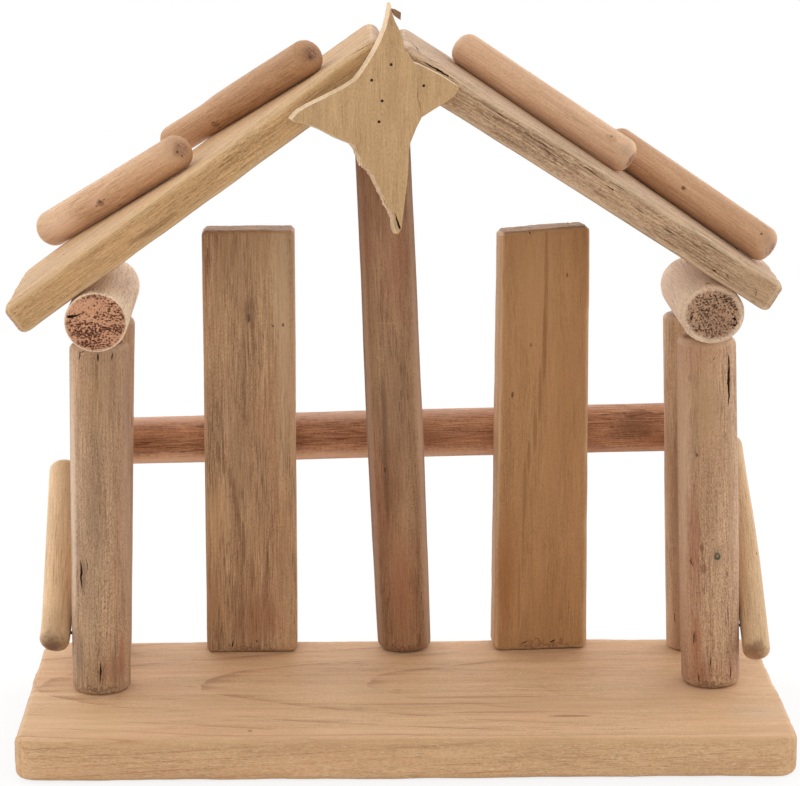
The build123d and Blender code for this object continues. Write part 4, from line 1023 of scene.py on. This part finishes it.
# star sawn from thin board: outline in pixels of the photograph, clockwise from the top
ridgeStar = dict(
    back=(-4.3, -18.6, 249.2), across=(0.9888, 0.1496, 0.0), facing=(0.1496, -0.9888, 0.0), thickness=4.5,
    spacing=0.7, edgeInset=0.45, leastInset=0.35, tornInset=0.5, clear=1.3, ragged=0.8, tearAcross=1.3,
    tearAlong=2.1, tearShare=0.15, rowShare=0.87, grainShift=100.0, splinterInset=0.1, raggedFrom=29,
    raggedTo=36,
    outline=[(391, 3), (392.5, 9), (393.5, 14), (396, 21), (400, 29), (403.5, 40), (406, 51), (411, 56),
             (415, 62.5), (420, 64), (430, 69), (440, 74), (450, 80), (459, 86), (460, 89), (456, 96),
             (445, 104), (435, 110), (422.5, 118), (417.5, 128), (411, 144), (410, 150), (409, 175),
             (406, 200), (404, 217), (402.5, 229), (399, 235), (395, 235), (392.5, 229), (392, 218),
             (385, 205), (377.5, 189), (370, 175), (362.5, 166), (357.5, 157.5), (355, 150), (350, 145),
             (335, 139), (320, 131), (307.5, 126), (294, 123), (290, 120), (291, 117.5), (297.5, 111),
             (307.5, 105), (320, 99), (332.5, 92.5), (345, 86), (355, 79), (361, 71), (367.5, 61),
             (374, 50), (379, 40), (384, 27.5), (387, 16), (388.5, 8), (389, 3.5)],
    splinters=[([(392, 9), (396, 9.5), (402, 13), (401.5, 20.5), (397.5, 18), (394.5, 15.5)], 1.4, 2),
               ([(356, 150), (361, 158), (367, 168), (365.5, 169), (361.5, 166), (359.5, 166.5),
                 (356.5, 158)], 1.0, 1), ([(383, 199), (388, 209), (386, 208.5), (383, 204)], 0.8, 1)],
    nails=[(-5.0, -23.3, 252.6), (-11.9, -24.3, 247.2), (6.6, -21.5, 244.9), (-8.2, -23.7, 239.8),
           (-9.3, -23.9, 232.4)],
    cracks=[([(400, 229), (397.5, 222), (394.5, 212)], 0.8, 4.0, "open"),
            ([(417, 75), (418, 90), (417.5, 97), (420.5, 108), (421, 118)], 0.3, 0.6)])
# sawn veneer: fine plain grain. Its sawn edge is fresh and pale, its torn splinters are dark
starLook = dict(
    wood="sawnVeneer", seed=31, hairDepth=0.12, light="#CFA87A", dark="#98764D", tone=0.32, stain="#B18C5F",
    tint="#C79D71", fibreDepth=0.3, streakDepth=0.3, speckDepth=0.45,
    marks=[((392, 100), 5.0, 14.0, "#A98359", 0.35), ((400, 80), 4.0, 6.0, "#B98E68", 0.3)])
edgeLook = dict(
    wood="freshSawnEdge", seed=32, light="#E8CDA8", dark="#C4A07A", tone=0.25, stain="#DDBE96",
    tint="#E0C29A")
splinterLook = dict(
    wood="tornSplinter", seed=33, light="#9A7656", dark="#6B4C36", tone=0.4)


def prism(made, outline, fill, front, backShift, frontInset, sideMaterial, faceMaterial):
    # front and back sheets of the same filling, the front one drawn in at its rim, joined by the sawn edge
    count = len(outline)
    filled = geometry.delaunay_2d_cdt(outline + fill, [], [list(range(count))], 1, 1e-5)
    points, edges, faces, origins, *rest = filled
    rimOf = {}
    for i, sources in enumerate(origins):
        for source in sources:
            if source < count:
                rimOf[source] = i
    place = dict(enumerate(points))
    for i in range(count):
        run = outline[(i + 1) % count] - outline[i - 1]
        out = Vector((-run.y, run.x)).normalized()
        place[rimOf[i]] = outline[i] - out * frontInset(out)
    frontSheet = [made.verts.new(front(place[i]) * mm) for i in range(len(points))]
    backSheet = [made.verts.new((front(points[i]) + backShift) * mm) for i in range(len(points))]
    for face in faces:
        made.faces.new([frontSheet[i] for i in face]).material_index = faceMaterial
        made.faces.new([backSheet[i] for i in reversed(face)]).material_index = faceMaterial
    for i in range(count):
        a, b = rimOf[i], rimOf[(i + 1) % count]
        side = made.faces.new((frontSheet[a], frontSheet[b], backSheet[b], backSheet[a]))
        side.material_index = sideMaterial


def makeStar():
    s = ridgeStar
    across, facing, back = Vector(s["across"]), Vector(s["facing"]), Vector(s["back"])
    up = Vector((0, 0, 1))
    face = back + facing * s["thickness"]

    def flat(pixel):  # pixel to the star's own plane
        away = onPlane(pixel, face, facing) - face
        return Vector((away.dot(across), away.dot(up)))

    def onFace(p):  # and back into the frame
        return face + across * p.x + up * p.y

    def rimInset(out):  # left edges show their sawn side, most where they face down
        return s["leastInset"] + max(0.0, -out.x) * (s["edgeInset"] + s["tornInset"] * max(0.0, -out.y))

    corners = [flat(pixel) for pixel in s["outline"]]
    rim = []
    for i, here in enumerate(corners):
        there = corners[(i + 1) % len(corners)]
        count = max(1, round((there - here).length / s["spacing"]))
        for j in range(count):
            point = here.lerp(there, j / count)
            if s["raggedFrom"] <= i < s["raggedTo"]:  # splintered edge
                tear = noise.noise(Vector((point.x * s["tearAcross"], point.y * s["tearAlong"], 0)))
                point.x -= s["ragged"] * max(0.0, tear + s["tearShare"])
            rim.append(point)
    fill = []
    low = Vector((min(c.x for c in corners), min(c.y for c in corners)))
    high = Vector((max(c.x for c in corners), max(c.y for c in corners)))
    rows = int((high.y - low.y) / (s["spacing"] * s["rowShare"]))
    columns = int((high.x - low.x) / s["spacing"])
    for row in range(rows):
        for column in range(columns):
            step = Vector(((column + row % 2 / 2) * s["spacing"], row * s["spacing"] * s["rowShare"]))
            point = low + step
            if min((point - r).length for r in rim) > s["clear"]:
                fill.append(point)
    made = bmesh.new()
    prism(made, rim, fill, onFace, -facing * s["thickness"], rimInset, 1, 0)
    for pixels, thick, material in s["splinters"]:
        prism(made, [flat(pixel) for pixel in pixels], [], lambda p: onFace(p) - facing * thick,
              -facing * thick, lambda out: s["splinterInset"], material, material)
    bmesh.ops.recalc_face_normals(made, faces=made.faces)
    mesh = bpy.data.meshes.new("ridgeStar")
    made.to_mesh(mesh)
    made.free()
    space = mesh.attributes.new("woodSpace", "FLOAT_VECTOR", "POINT")
    for i, v in enumerate(mesh.vertices):
        away = v.co / mm - back
        space.data[i].vector = Vector((away.dot(facing), away.dot(across),
                                       away.dot(up) + s["grainShift"])) * mm
    for look in (starLook, edgeLook, splinterLook):
        wood = bpy.data.materials.new(look["wood"] + "_ridgeStar")
        mesh.materials.append(wood)
        dress(mesh, wood, look)
    mesh = carve(mesh, [(spot, -facing) for spot in s["nails"]], s["cracks"])
    keepPiece("ridgeStar", mesh, "star")


makeStar()
print("star made")

# brads: dull steel wire, dark at the sunk heads
steel = gritMaterial("dullSteelWire", 0.4, "#2E2118", "#4C3A2B", {"Roughness": 0.7, "Metallic": 0.3})
for name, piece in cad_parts.items():
    if name.endswith("_nails"):
        for slot in piece.material_slots:
            slot.material = steel


def seenShare(add):  # 1 for rays that the camera sees, straight or by a reflection
    path = add("LightPath").outputs
    seen = add("Math.MAXIMUM", path["Is Camera Ray"], path["Is Glossy Ray"])
    return add("Math.MAXIMUM", seen, path["Is Transmission Ray"])


# white paper: a soft shadow near the object, plain white further off. Stage and lamps are in metres
stage = dict(
    corners=[(-6, -6, 0), (6, -6, 0), (6, 8, 0), (-6, 8, 0)], nearShare=0.8, near=0.25, far=0.8, paper=0.9,
    worldLevel=0.62, aim=(0.0, 0.0, 0.12))
floorMesh = bpy.data.meshes.new("floor")
floorMesh.from_pydata(stage["corners"], [], [(0, 1, 2, 3)])
floor = bpy.data.objects.new("floor", floorMesh)
bpy.context.scene.collection.objects.link(floor)
paper = bpy.data.materials.new("whitePaperFloor")
addPaper = clearTree(paper)
spread = addPaper("VectorMath.LENGTH", addPaper("TexCoord").outputs["Object"])
spread = addPaper("MapRange", {"Value": spread.outputs["Value"], "From Min": stage["near"],
                               "From Max": stage["far"], "To Min": stage["nearShare"]})
glowShare = addPaper("Math.MULTIPLY", seenShare(addPaper), spread)
matt = addPaper("BsdfDiffuse", {"Color": (stage["paper"], stage["paper"], stage["paper"], 1)})
glow = addPaper("Emission", {"Color": (1, 1, 1, 1), "Strength": 1.0})
mixed = addPaper("MixShader", glowShare, matt, glow)
addPaper("OutputMaterial", {"Surface": mixed})
floorMesh.materials.append(paper)

# soft boxes at both sides, above and behind, and a weak one in front, as in a light tent
lamps = dict(
    leftBox=dict(spot=(-1.0, 0.35, 0.45), size=(1.2, 1.0), power=6.0),
    rightBox=dict(spot=(1.0, 0.35, 0.45), size=(1.2, 1.0), power=6.0),
    backBox=dict(spot=(0.0, 1.2, 0.45), size=(2.4, 1.2), power=14.0),
    topBox=dict(spot=(0.0, -0.2, 1.3), size=(1.4, 1.4), power=3.0),
    frontFill=dict(spot=(-0.1, -1.4, 0.75), size=(1.4, 1.0), power=4.0))
for name, lamp in lamps.items():
    data = bpy.data.lights.new(name, "AREA")
    data.shape = "RECTANGLE"
    data.size, data.size_y = lamp["size"]
    data.energy = lamp["power"]
    light = bpy.data.objects.new(name, data)
    light.location = lamp["spot"]
    aim = Vector(stage["aim"]) - Vector(lamp["spot"])
    light.rotation_euler = aim.to_track_quat("-Z", "Y").to_euler()
    bpy.context.scene.collection.objects.link(light)
world = bpy.data.worlds.new("studio")
bpy.context.scene.world = world
addWorld = clearTree(world)
worldLevel = addWorld("MapRange", {"Value": seenShare(addWorld), "To Min": stage["worldLevel"],
                                   "To Max": 1.0})
backdrop = addWorld("Background", {"Color": (1, 1, 1, 1), "Strength": worldLevel})
addWorld("OutputWorld", {"Surface": backdrop})
bpy.context.scene.view_settings.view_transform = "Standard"
print("stage lit")
